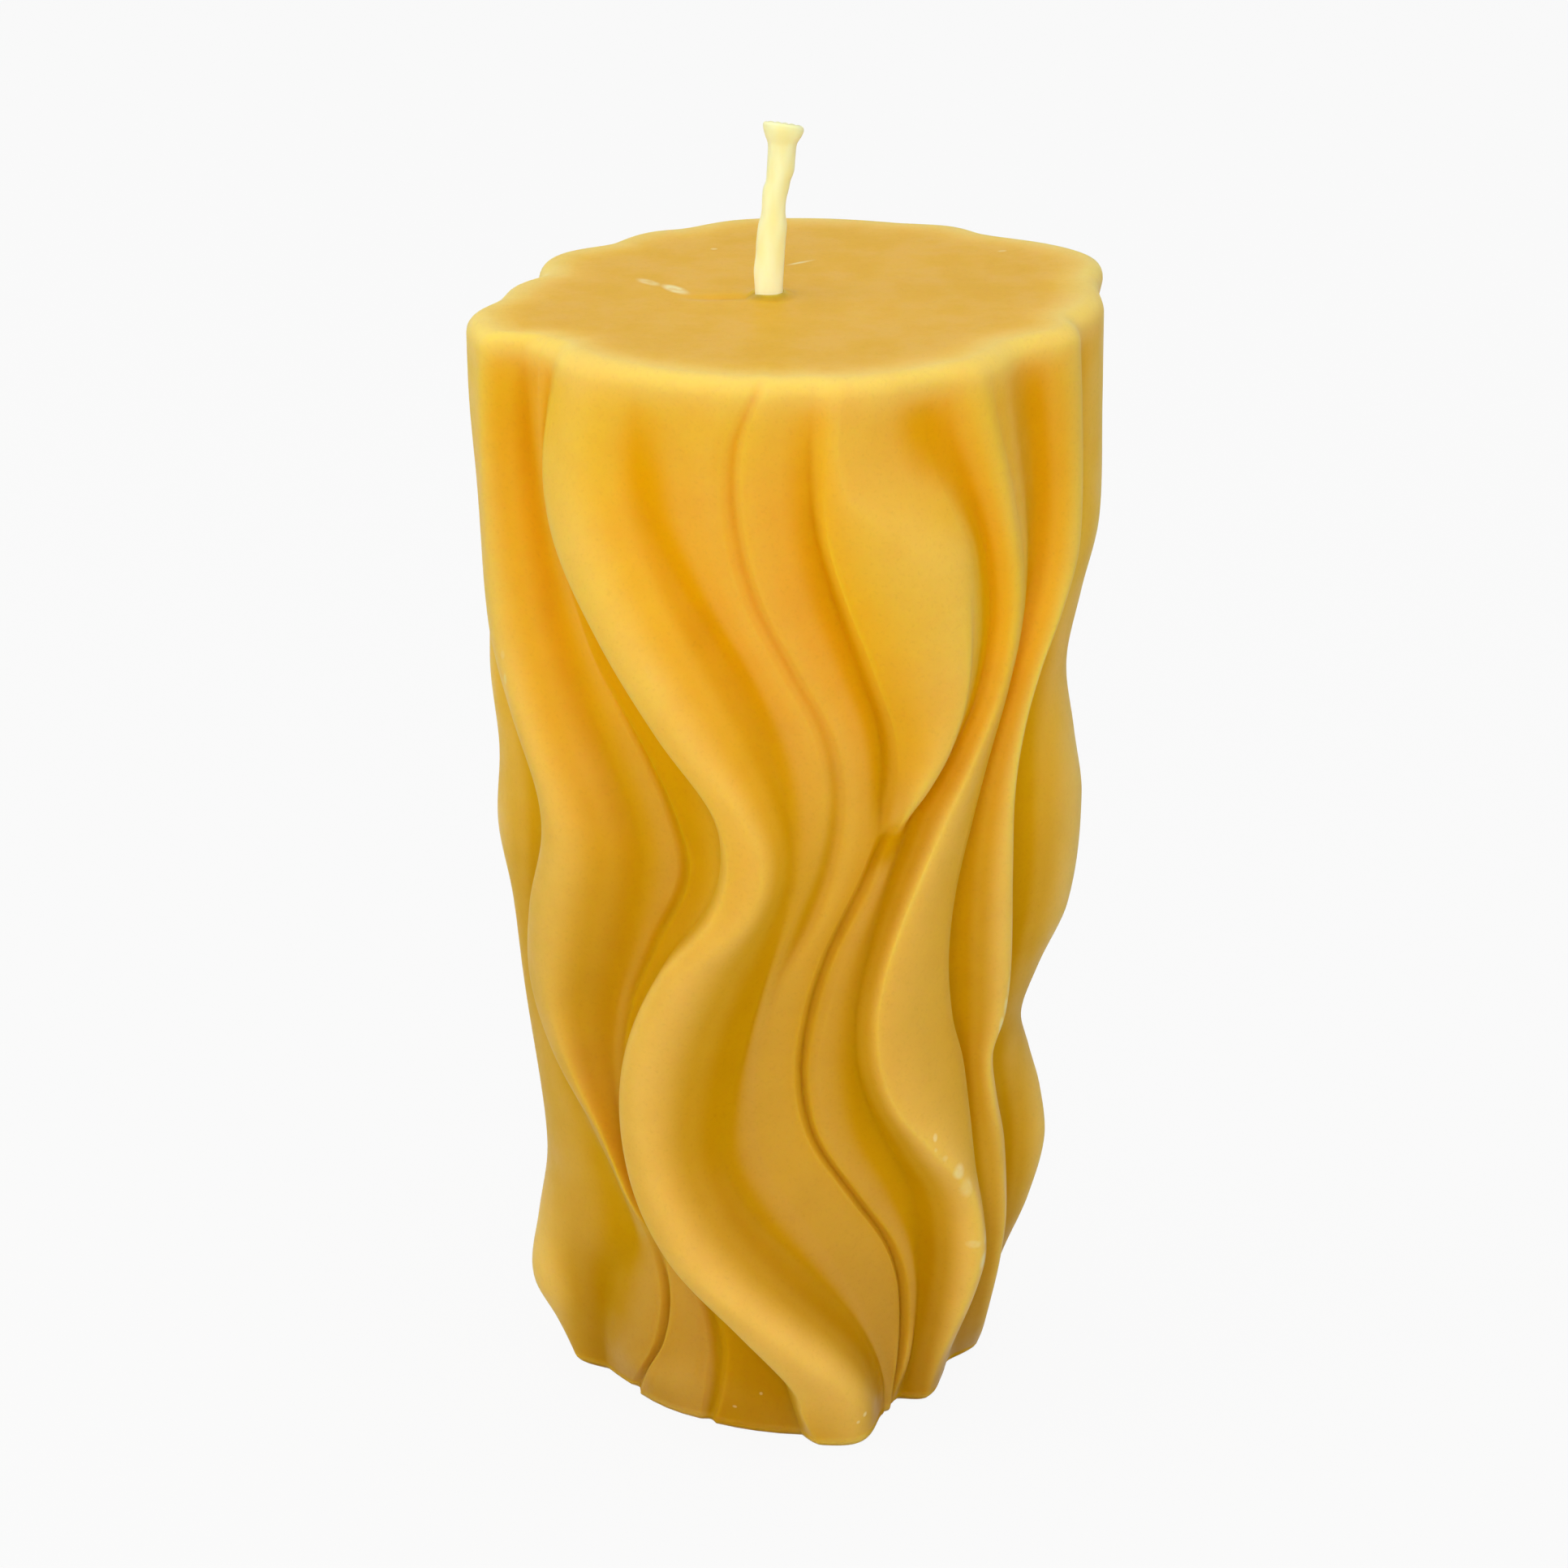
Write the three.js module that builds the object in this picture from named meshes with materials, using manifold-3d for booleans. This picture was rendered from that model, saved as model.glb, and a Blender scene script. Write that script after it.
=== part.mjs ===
// Beeswax pillar candle with flowing folds: a cast wax column and the cotton wick that runs through it.
// Millimetres, +Z up. The column stands on Z = 0, centred on the Z axis, and its front faces -Y.
import * as THREE from 'three';
import { mergeVertices } from 'three/addons/utils/BufferGeometryUtils.js';
import Module from 'manifold-3d';

// Wax column
const WAX_HEIGHT = 127.5;
const CORE_RADIUS_AT_BASE = 21.6;
const CORE_RADIUS_AT_TOP = 31;
const FOLD_DEPTH = 7;
const GROOVE_HALF_WIDTH = 1.05;
const GROOVE_DEPTH = 1.3;
const RIM_ROUND = 2.2;
const BASE_ROUND = 0.8;
const TOP_DISH_DEPTH = 0.7;
const ROW_HEIGHT = 2.6;
const LEAST_LINE_GAP = 0.35;

// Wick
const WICK_RADIUS = 1.4;
const WICK_CUT_END_RADIUS = 2.1;
const WICK_STUB_LENGTH = 18.8;
const WICK_LEAN = 1.6;
const WICK_X = -1.65;
const WICK_Y = 0.4;
const WICK_CLEARANCE = 0.3;
const WICK_SIDE_COUNT = 16;

// How much of the fold depth stands out at each height: [height %, share]. The folds draw in at both ends.
const FOLD_SWELL_SHARES = [
  [0, 0.7],
  [10, 1.04],
  [25, 0.97],
  [55, 1],
  [78, 0.9],
  [100, 0.71],
];

// The fold lines, in order round the candle. Each point is [height %, angle in degrees, relief %]:
// angle 0 is the front, 90 the +X side, and relief 0 lies on the core and 100 on the full fold.
// turn is how sharply the surface breaks at the line, 0 for a round crest, and cells is how many
// steps the surface takes from there to the next line. A groove's points also end in its depth %.
const FOLD_LINES = [
  // left shoulder, which ends in a tip over the low core, and the fold behind it
  {
    name: 'outer fold crest', turn: 0, cells: 4,
    points: [
      [0, -82, 58], [4, -84, 78], [8, -86, 100], [14, -87, 78], [21, -88, 56], [37, -90, 70],
      [45, -90, 74], [52, -90, 86], [59, -91, 73], [67, -92, 78], [82, -95, 50], [100, -97, 6],
    ],
  },
  {
    name: 'outer fold foot', turn: 0.5, cells: 2,
    points: [
      [0, -73, -3], [6, -66, 0], [12, -58, 0], [17, -47, 2], [22, -48.5, 14], [28, -57, 30],
      [34, -69, 38], [40, -76.5, 38], [47, -74, 30], [55, -64, 22], [60, -65, 24], [66, -75, 30],
      [73, -86, 38], [84, -89, 40], [100, -88, 20],
    ],
  },
  {
    name: 'shoulder edge', turn: 0.3, cells: 2,
    points: [
      [0, -60, -20], [3.5, -49, 2], [7, -42, 0], [12, -38.5, 0], [17, -40, 8], [22, -42.8, 38],
      [28, -49, 55], [34, -62, 70], [40, -70, 76], [47, -66, 77], [55, -57, 77], [60, -58, 76],
      [66, -67, 77], [73, -79, 77], [84, -82, 76], [92, -81, 87], [100, -79, 88],
    ],
  },
  {
    name: 'shoulder crest', turn: 0, cells: 4,
    points: [
      [0, -57, -28], [3.5, -47, -13], [7, -40, -13], [12, -36.5, -13], [17, -38, 4], [22, -41.7, 40],
      [28, -47, 58], [34, -55, 72], [40, -61, 79], [47, -58, 82], [55, -50.5, 82], [60, -52.5, 84],
      [66, -60.5, 86], [73, -70.5, 90], [84, -75, 93], [92, -74, 97], [100, -68.5, 103],
    ],
  },
  {
    name: 'shoulder flank', turn: 0.3, cells: 1,
    points: [
      [0, -52, -12], [3.5, -45, 4], [7, -38, 0], [12, -34.5, 0], [17, -35.8, 3], [22, -40.7, 15],
      [28, -45.3, 20], [34, -49, 12], [40, -46.5, 5], [47, -39.2, 3], [55, -34.4, 3], [60, -37.6, 3],
      [66, -45, 4], [73, -54, 5], [78, -59.2, 7], [84, -64.4, 9], [91, -66.4, 11], [100, -60, 30],
    ],
  },
  {
    name: 'shoulder groove', groove: true, cells: 1,
    points: [
      [0, -24, 8, 80], [4, -21, 8, 100], [8, -20, 0, 100], [12, -23, 0, 80], [16, -31.5, 0, 0],
      [22, -39.3, 12, 0], [28, -43.6, 18, 0], [34, -45.8, 9, 30], [40, -42.8, 4, 45],
      [47, -33.3, 2, 55], [54, -24, 6, 60], [60, -27, 6, 55], [66, -35, 5, 40],
      [73, -47, 5, 0], [84, -57.4, 8, 0], [91, -59, 9, 0],
      [100, -55.5, 14, 0],
    ],
  },
  // the main fold, which winds from the top left to a foot at the front right
  {
    name: 'main fold foot', turn: 0.7, cells: 2,
    points: [
      [0, 5.2, 40], [3, 2.4, 22], [6, -1, 6], [12, -15, 0], [18, -32, 0], [24, -40, 14],
      [31, -42.8, 15], [38, -39.8, 4], [46, -28.2, 18], [52, -16.8, 36], [57, -13.4, 42], [62, -16.2, 34],
      [68, -28, 16], [76, -41.4, 8], [84, -54.3, 6], [91, -56.2, 6], [100, -51.5, 0],
    ],
  },
  {
    name: 'main fold edge', turn: 0.35, cells: 2,
    points: [
      [0, 9, 98], [3, 5, 93], [6, 2.6, 90], [12, -10.6, 88], [18, -26, 88], [24, -34.5, 88],
      [31, -37, 88], [38, -34, 90], [46, -25, 90], [52, -13.8, 90], [57, -10.6, 90], [62, -13.4, 90],
      [68, -23.3, 90], [76, -35.6, 90], [84, -46.5, 80], [91, -50.6, 58], [100, -46, 26],
    ],
  },
  {
    name: 'main fold crest', turn: 0, cells: 4,
    points: [
      [0, 17, 113], [6, 13, 103], [12, -2, 100], [18, -19, 100], [24, -27, 100], [31, -31, 100],
      [38, -29, 100], [46, -20, 100], [52, -8, 100], [57, -4.4, 100], [62, -8, 100],
      [68, -17.5, 100], [76, -29.8, 98], [84, -39.5, 88], [91, -42.5, 68], [95, -41, 58], [100, -37, 40],
    ],
  },
  {
    name: 'main fold far foot', turn: 0.3, cells: 2,
    points: [
      [0, 32.2, -6], [4, 31, -6], [9, 23.5, 0], [13, 14, 0], [17, 3.6, 0], [22, -9, 0], [27, -15.6, 0],
      [33, -14, 0], [39, -9.5, 2], [45, -4.7, 9], [50, -1, 18], [56, 1.8, 24], [62, 0.4, 20],
      [68, -4.2, 15], [74, -10.7, 12], [80, -18.8, 14], [86, -25.6, 16], [91, -28, 18], [96, -28, 30],
      [100, -26.5, 50],
    ],
  },
  // the flat strip in the middle, with a long groove down it
  {
    name: 'middle groove', groove: true, cells: 2,
    points: [
      [0, 33.8, -10, 0], [4, 33, -6, 0], [9, 27.3, 0, 0], [14, 19.5, 0, 0], [20, 8, 0, 0],
      [27, -5, 0, 0], [36, -6.6, 2, 0], [44, -2, 6, 30], [50, 4.6, 12, 100], [56, 9.7, 18, 100],
      [62, 11.2, 25, 100], [68, 8.3, 32, 100], [74, 1.1, 37, 100], [80, -5.8, 40, 100],
      [87, -9.7, 43, 100], [94, -9.4, 50, 90], [100, -4, 62, 50],
    ],
  },
  // the leaf-shaped fold at the upper right: below its tip these three lines are one groove
  {
    name: 'leaf foot', turn: 0.4, cells: 2,
    points: [
      [0, 35.4, -18], [5, 35.6, 0], [10, 35.6, 0], [14, 33.6, 0], [18, 28.3, 0], [23, 17.6, 0],
      [29, 6.2, 0], [35, 2.5, 0], [41, 4.2, 0], [47, 9, 2], [53, 16.5, 3], [57, 20.6, 3],
      [60, 21.8, 3], [67, 21, 6], [74, 15, 11], [80, 10, 14], [86, 6, 20], [92, 4.4, 28],
      [97, 4.4, 40], [100, 5, 54],
    ],
  },
  {
    name: 'leaf near edge', turn: 0.5, cells: 3,
    points: [
      [0, 36.6, -26], [5, 37.3, -19], [10, 37.6, -19], [14, 35.6, -19], [18, 30.3, -19], [23, 19.6, -19],
      [29, 8.2, -19], [35, 4.5, -19], [41, 6.2, -19], [47, 11, -17], [53, 18.8, -16], [57, 23, -10],
      [60, 23.7, 34], [67, 23.2, 48], [74, 17.7, 53], [80, 12.3, 56], [86, 8.2, 59], [92, 7.2, 62],
      [100, 8, 66],
    ],
  },
  {
    name: 'leaf crest', turn: 0.1, cells: 2,
    points: [
      [0, 37.9, -33], [5, 39, 0], [10, 39.4, 0], [14, 37.6, 0], [18, 32.3, 0], [23, 21.6, 0],
      [29, 10.2, 0], [35, 6.5, 0], [41, 8.2, 0], [47, 13, 2], [53, 21, 3], [57, 25, 4],
      [60, 25.4, 50], [62.5, 26.8, 74], [66, 30.2, 90], [70, 33.3, 97], [74, 34, 100], [78, 32.3, 99],
      [81.5, 28.8, 97], [84.5, 24.5, 92], [87, 18.5, 85], [89.5, 12.5, 77], [93, 10.2, 69], [100, 10.6, 70],
    ],
  },
  {
    name: 'leaf far edge', turn: 0.7, cells: 2,
    points: [
      [0, 39.3, -38], [5, 40.8, -2], [10, 41, 0], [14, 39.4, 0], [18, 34.8, 0], [23, 24.5, 1],
      [29, 13, 2], [35, 8.8, 3], [41, 10.3, 4], [47, 15.2, 5], [53, 22.9, 5], [57, 26.7, 5],
      [60, 27.6, 36], [62.5, 29.8, 62], [66, 33, 79], [70, 35.1, 88], [74, 35.8, 93], [79, 35.8, 91],
      [84, 34.9, 82], [88, 31.8, 57], [92, 28.6, 32], [96, 26.3, 27], [100, 26, 58],
    ],
  },
  // the right fold, in front of the leaf above and with a crisp left edge below
  {
    name: 'right fold foot', turn: 0.6, cells: 3,
    points: [
      [0, 43.5, -48], [5, 42.8, -15], [11, 42.4, 0], [17, 40.5, 0], [23, 35.5, 0], [29, 26, 2],
      [35, 19, 8], [41, 17.3, 12], [47, 20, 10], [53, 24.8, 6], [57, 28.3, 6], [60, 30, 8],
      [63, 34.6, 18], [66, 38.2, 26], [70, 42.4, 30], [76, 44.8, 31], [82, 43.2, 28], [86, 40.4, 24],
      [90, 36.8, 22], [94, 33.4, 25], [97, 32, 34], [100, 31, 52],
    ],
  },
  {
    name: 'right fold crest', turn: 0.1, cells: 2,
    points: [
      [0, 50, 4], [4, 48.4, 30], [8, 48, 56], [12, 48, 79], [17, 47.8, 98], [23, 44, 100],
      [28, 34.5, 95], [33, 24.8, 82], [39, 20.4, 72], [45, 21, 70], [51, 24.8, 72], [58, 31.5, 76],
      [65, 40, 75], [70, 46, 72], [74, 48.6, 71], [79, 49.3, 70], [85, 46.9, 67], [90, 43.8, 62],
      [95, 40, 58], [100, 37, 56],
    ],
  },
  {
    name: 'right fold far edge', turn: 0.25, cells: 2,
    points: [
      [0, 64, -30], [4, 60.5, 2], [10, 56.8, 42], [15, 54.5, 70], [20, 50.8, 80], [25, 47.3, 80],
      [31, 45.2, 70], [36, 43.2, 61], [40, 39.8, 57], [46, 37.8, 55], [52, 38.8, 52], [58, 42.2, 50],
      [64, 46, 52], [70, 50.2, 57], [76, 53, 59], [82, 52.2, 56], [88, 49, 49], [95, 44, 43],
      [100, 41.3, 42],
    ],
  },
  {
    name: 'right valley', turn: 0.25, cells: 3,
    points: [
      [0, 76, -46], [4, 69, -15], [10, 63, 20], [15, 59.5, 44], [20, 55.5, 50], [25, 51.2, 42],
      [31, 48.6, 28], [36, 46.5, 16], [41, 43.5, 8], [46, 41.6, 4], [54, 43, 6], [61, 47.2, 12],
      [68, 53, 20], [74, 58.6, 19], [80, 62, 13], [87, 61.4, 6], [94, 57, 3], [100, 52, 8],
    ],
  },
  {
    name: 'side fold crest', turn: 0.3, cells: 2,
    points: [
      [0, 91, 24], [4, 79, 34], [8, 71.5, 45], [13, 66, 62], [18, 63.2, 74], [25, 59.7, 74],
      [31, 54.5, 72], [35, 52.5, 70], [38.5, 55.5, 76], [43, 56, 76], [52, 53.5, 76],
      [60, 52.2, 76], [66, 54.2, 76], [71, 58.5, 78], [75, 65, 80], [80, 71.5, 84], [88, 73, 76],
      [100, 68, 68],
    ],
  },
  {
    name: 'side fold foot', turn: 0.6, cells: 4,
    points: [
      [0, 106, -10], [6, 89, 5], [12, 79, 15], [18, 74, 25], [25, 70, 25], [31, 63, 14],
      [36, 60.5, 8], [43, 62.5, 10], [52, 60, 10], [60, 57.5, 10], [66, 59.5, 15], [71, 65, 28],
      [75, 72, 45], [80, 77, 55], [88, 78.5, 48], [100, 75.5, 34],
    ],
  },
  {
    name: 'flank fold crest', turn: 0, cells: 2,
    points: [
      [0, 112, 20], [5, 100, 36], [10, 92, 45], [16, 88, 75], [22, 87, 97], [27, 86, 82],
      [31, 85, 56], [34.5, 84, 37], [39, 86, 58], [45, 88, 98], [55, 88, 102], [61, 88, 80], [67.5, 88, 57],
      [74, 90, 74], [80, 92, 98], [90, 94, 95], [100, 93, 86],
    ],
  },
  // the back: five more folds of the same kind, with one groove between two of them
  {
    name: 'flank fold foot', turn: 0.6, cells: 3,
    points: [
      [0, 118, 0], [17, 104, 10], [34, 99, 0], [50, 104, 10], [67, 106, 15], [84, 108, 40],
      [100, 103, 100],
    ],
  },
  {
    name: 'back right crest', turn: 0, cells: 3,
    points: [
      [0, 127, 90], [17, 114, 92], [34, 111, 60], [50, 116, 92], [67, 121, 92], [84, 121, 110],
      [100, 118, 182],
    ],
  },
  {
    name: 'back right foot', turn: 0.6, cells: 2,
    points: [
      [0, 138, 0], [17, 127, 5], [34, 119, 0], [50, 127, 5], [67, 136, 10], [84, 141, 30],
      [100, 139, 104],
    ],
  },
  {
    name: 'back middle crest', turn: 0.15, cells: 4,
    points: [
      [0, 148, 90], [17, 135, 96], [34, 126, 95], [50, 134, 92], [67, 145, 95], [84, 151, 95],
      [100, 147, 130],
    ],
  },
  {
    name: 'back middle foot', turn: 0.3, cells: 2,
    points: [
      [0, 161, -8], [17, 152, 4], [34, 143, 0], [50, 148, 4], [67, 158, 6], [84, 163, 38],
      [100, 158, 98],
    ],
  },
  {
    name: 'back groove', groove: true, cells: 2,
    points: [
      [0, 168, -10, 0], [17, 160, 2, 100], [34, 151, 0, 100], [50, 154, 2, 100], [67, 165, 5, 100],
      [84, 171, 38, 80], [100, 166, 96, 0],
    ],
  },
  {
    name: 'back left foot', turn: 0.6, cells: 3,
    points: [
      [0, 174, 0], [17, 169, 4], [34, 160, 0], [50, 162, 4], [67, 173, 5], [84, 180, 36],
      [100, 175, 94],
    ],
  },
  {
    name: 'back left crest', turn: 0, cells: 3,
    points: [
      [0, 184, 90], [17, 181, 96], [34, 171, 94], [50, 170, 95], [67, 180, 92], [84, 189, 84],
      [100, 186, 90],
    ],
  },
  {
    name: 'left rear foot', turn: 0.6, cells: 2,
    points: [
      [0, 197, 0], [17, 199, 5], [34, 190, 0], [50, 185, 5], [67, 192, 5], [84, 202, 10],
      [100, 201, 36],
    ],
  },
  {
    name: 'left rear crest', turn: 0.15, cells: 4,
    points: [
      [0, 206, 90], [17, 210, 95], [34, 202, 93], [50, 195, 95], [67, 200, 92], [84, 209, 72],
      [100, 208, 46],
    ],
  },
  {
    name: 'left rear valley', turn: 0.5, cells: 3,
    points: [
      [0, 221, -5], [17, 227, 5], [34, 219, 0], [50, 211, 5], [67, 213, 5], [84, 220, 0],
      [100, 221, 0],
    ],
  },
  {
    name: 'left flank crest', turn: 0, cells: 3,
    points: [
      [0, 234, 85], [17, 240, 95], [34, 234, 92], [50, 226, 95], [67, 226, 92], [84, 232, 60],
      [100, 234, 30],
    ],
  },
  {
    name: 'left flank foot', turn: 0.6, cells: 4,
    points: [
      [0, 249, -10], [17, 254, 5], [34, 250, 15], [50, 243, 15], [67, 242, 10], [84, 246, -8],
      [100, 250, -42],
    ],
  },
];

// A smooth value between points [place, value, ...]: cubic pieces that pass each point
// along the slope between its neighbours.
function smoothValue(points, place, column = 1) {
  const last = points.length - 1;
  let i = 0;
  while (i < last - 1 && place > points[i + 1][0]) i++;
  const slope = (k) => {
    const before = points[Math.max(k - 1, 0)];
    const after = points[Math.min(k + 1, last)];
    return (after[column] - before[column]) / (after[0] - before[0]);
  };
  const start = points[i];
  const end = points[i + 1];
  const span = end[0] - start[0];
  const t = THREE.MathUtils.clamp((place - start[0]) / span, 0, 1);
  return (
    start[column] * (2 * t ** 3 - 3 * t ** 2 + 1) +
    end[column] * (3 * t ** 2 - 2 * t ** 3) +
    slope(i) * span * (t ** 3 - 2 * t ** 2 + t) +
    slope(i + 1) * span * (t ** 3 - t ** 2)
  );
}

// Radius at a height for a relief: the tapering core plus its share of the fold depth there.
function reliefRadius(heightShare, relief) {
  const core = THREE.MathUtils.lerp(CORE_RADIUS_AT_BASE, CORE_RADIUS_AT_TOP, heightShare / 100);
  return core + FOLD_DEPTH * smoothValue(FOLD_SWELL_SHARES, heightShare) * (relief / 100);
}

// Where one fold line crosses a height. A groove gives three crossings: its two lips and its bottom.
function crossings(line, heightShare) {
  const angle = smoothValue(line.points, heightShare, 1);
  const radius = reliefRadius(heightShare, smoothValue(line.points, heightShare, 2));
  if (!line.groove) return [{ angle, radius, turn: line.turn, cells: line.cells }];
  const strength = Math.max(smoothValue(line.points, heightShare, 3), 0) / 100;
  const halfWidth = GROOVE_HALF_WIDTH * (0.35 + 0.65 * strength);
  const halfAngle = THREE.MathUtils.radToDeg(halfWidth / radius);
  return [
    { angle: angle - halfAngle, radius, turn: 0.2, cells: 1 },
    { angle, radius: radius - GROOVE_DEPTH * strength, turn: 0, cells: 1 },
    { angle: angle + halfAngle, radius, turn: 0.2, cells: line.cells },
  ];
}

// Share of the climb from one line to the next, leaving and meeting them at the slopes their turns give.
function climb(t, turnFrom, turnTo) {
  const ease = 3 * t ** 2 - 2 * t ** 3;
  return ease + 2 * turnFrom * (t ** 3 - 2 * t ** 2 + t) + 2 * turnTo * (t ** 3 - t ** 2);
}

// All crossings at a height, in order. Lines that run together there keep a least gap between them.
function orderedCrossings(heightShare) {
  const found = FOLD_LINES.flatMap((line) => crossings(line, heightShare));
  for (let i = 1; i < found.length; i++) {
    const leastAngle = THREE.MathUtils.radToDeg(LEAST_LINE_GAP / found[i].radius);
    found[i].angle = Math.max(found[i].angle, found[i - 1].angle + leastAngle);
  }
  return found;
}

// The outline of the folds at a height, counterclockwise from above, as points pulled in by an inset.
function foldOutline(height, inset) {
  const found = orderedCrossings((100 * height) / WAX_HEIGHT);
  const outline = [];
  found.forEach((from, i) => {
    const wraps = i === found.length - 1;
    const to = found[(i + 1) % found.length];
    const toAngle = to.angle + (wraps ? 360 : 0);
    for (let step = 0; step < from.cells; step++) {
      const t = step / from.cells;
      const angle = THREE.MathUtils.degToRad(THREE.MathUtils.lerp(from.angle, toAngle, t));
      const rise = climb(t, from.turn, to.turn);
      const radius = THREE.MathUtils.lerp(from.radius, to.radius, rise) - inset;
      outline.push(new THREE.Vector3(radius * Math.sin(angle), -radius * Math.cos(angle), height));
    }
  });
  return outline;
}

// A closed surface through rings of equal count, each end closed by a fan on the ring's own middle point.
function loft(rings, bottomMiddle, topMiddle) {
  const count = rings[0].length;
  const vertices = [...rings.flat(), bottomMiddle, topMiddle];
  const bottom = rings.length * count;
  const top = bottom + 1;
  const faces = [];
  for (let i = 0; i < count; i++) {
    const next = (i + 1) % count;
    faces.push(bottom, next, i);
    faces.push(top, top - 1 - count + i, top - 1 - count + next);
    for (let row = 0; row < rings.length - 1; row++) {
      const [a, b] = [row * count + i, row * count + next];
      const [c, d] = [a + count, b + count];
      const risingIsShorter = vertices[a].distanceTo(vertices[d]) < vertices[b].distanceTo(vertices[c]);
      if (risingIsShorter) faces.push(a, b, d, a, d, c);
      else faces.push(a, b, c, b, d, c);
    }
  }
  const geometry = new THREE.BufferGeometry().setFromPoints(vertices);
  geometry.setIndex(faces);
  return geometry;
}

// Heights and insets of the column's rows: a rounded foot, even rows, and a rounded rim.
function columnRows() {
  const rows = [];
  for (const turn of [30, 60]) {
    const a = THREE.MathUtils.degToRad(turn);
    rows.push([BASE_ROUND * (1 - Math.cos(a)), BASE_ROUND * (1 - Math.sin(a))]);
  }
  rows.unshift([0, BASE_ROUND]);
  const straight = WAX_HEIGHT - BASE_ROUND - RIM_ROUND;
  const evenRows = Math.round(straight / ROW_HEIGHT);
  for (let i = 0; i <= evenRows; i++) rows.push([BASE_ROUND + (straight * i) / evenRows, 0]);
  for (const turn of [25, 50, 72, 90]) {
    const a = THREE.MathUtils.degToRad(turn);
    rows.push([WAX_HEIGHT - RIM_ROUND * (1 - Math.sin(a)), RIM_ROUND * (1 - Math.cos(a))]);
  }
  return rows;
}

// The top face: the rim's outline drawn in toward the middle, sinking into a shallow dish.
function topFaceRings(rim) {
  return [0.8, 0.5, 0.2].map((share) => {
    const sink = TOP_DISH_DEPTH * (1 - share) ** 2;
    return rim.map((p) => new THREE.Vector3(p.x * share, p.y * share, WAX_HEIGHT - sink));
  });
}

// A geometry as a manifold-3d solid, and back again.
function toSolid(wasm, geometry) {
  const bare = geometry.clone();
  bare.deleteAttribute('normal');
  bare.deleteAttribute('uv');
  const merged = mergeVertices(bare, 1e-4);
  return new wasm.Manifold(new wasm.Mesh({
    numProp: 3,
    vertProperties: new Float32Array(merged.attributes.position.array),
    triVerts: new Uint32Array(merged.index.array),
  }));
}

function toGeometry(solid) {
  const mesh = solid.getMesh();
  const geometry = new THREE.BufferGeometry();
  geometry.setAttribute('position', new THREE.BufferAttribute(mesh.vertProperties, 3));
  geometry.setIndex(new THREE.BufferAttribute(mesh.triVerts, 1));
  geometry.computeVertexNormals();
  return geometry;
}

// The hole that the wick leaves through the wax, running past both ends of the column.
function wickBore() {
  const length = WAX_HEIGHT + 10;
  const radius = WICK_RADIUS + WICK_CLEARANCE;
  const bore = new THREE.CylinderGeometry(radius, radius, length, WICK_SIDE_COUNT);
  bore.rotateX(Math.PI / 2);
  bore.translate(WICK_X, WICK_Y, WAX_HEIGHT / 2);
  return bore;
}

// The cast column: the folds lofted from base to rim, the dished top face, and the wick's hole.
function waxGeometry(wasm) {
  const sides = columnRows().map(([height, inset]) => foldOutline(height, inset));
  const rings = [...sides, ...topFaceRings(sides.at(-1))];
  const baseMiddle = new THREE.Vector3(0, 0, 0);
  const topMiddle = new THREE.Vector3(0, 0, WAX_HEIGHT - TOP_DISH_DEPTH);
  const column = toSolid(wasm, loft(rings, baseMiddle, topMiddle));
  return toGeometry(column.subtract(toSolid(wasm, wickBore())));
}

// Middle of the wick at a height: upright in the wax, then leaning more and more toward its cut end.
function wickMiddle(height) {
  const out = Math.max(height - WAX_HEIGHT, 0) / WICK_STUB_LENGTH;
  return new THREE.Vector3(WICK_X + WICK_LEAN * out ** 1.3, WICK_Y, height);
}

// Radius of the wick at a height: even all along, then flaring where the cutter spread its end.
function wickRadius(height) {
  const out = (height - WAX_HEIGHT) / WICK_STUB_LENGTH;
  const flare = THREE.MathUtils.smoothstep(out, 0.7, 1);
  return THREE.MathUtils.lerp(WICK_RADIUS, WICK_CUT_END_RADIUS, flare);
}

// The wick, from the underside of the wax to its cut end above.
function wickGeometry() {
  const inWax = 12;
  const aboveWax = 22;
  const heights = [];
  for (let i = 0; i < inWax; i++) heights.push((WAX_HEIGHT * i) / inWax);
  for (let i = 0; i <= aboveWax; i++) heights.push(WAX_HEIGHT + (WICK_STUB_LENGTH * i) / aboveWax);
  const rings = heights.map((height) => {
    const middle = wickMiddle(height);
    const radius = wickRadius(height);
    return Array.from({ length: WICK_SIDE_COUNT }, (_, k) => {
      const angle = (2 * Math.PI * k) / WICK_SIDE_COUNT;
      return new THREE.Vector3(radius * Math.cos(angle), radius * Math.sin(angle), 0).add(middle);
    });
  });
  return loft(rings, wickMiddle(0), wickMiddle(heights.at(-1)));
}

function beeswax() {
  return new THREE.MeshStandardMaterial({ color: 0xe8b23c, roughness: 0.45, metalness: 0 });
}

function waxedCotton() {
  return new THREE.MeshStandardMaterial({ color: 0xf4e6a6, roughness: 0.8, metalness: 0 });
}

function named(name, geometry, material) {
  const mesh = new THREE.Mesh(geometry, material);
  mesh.name = name;
  return mesh;
}

const wasm = await Module();
wasm.setup();

const candle = new THREE.Group();
candle.add(named('wax_body', waxGeometry(wasm), beeswax()));
candle.add(named('wick', wickGeometry(), waxedCotton()));

export default candle;
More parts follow.
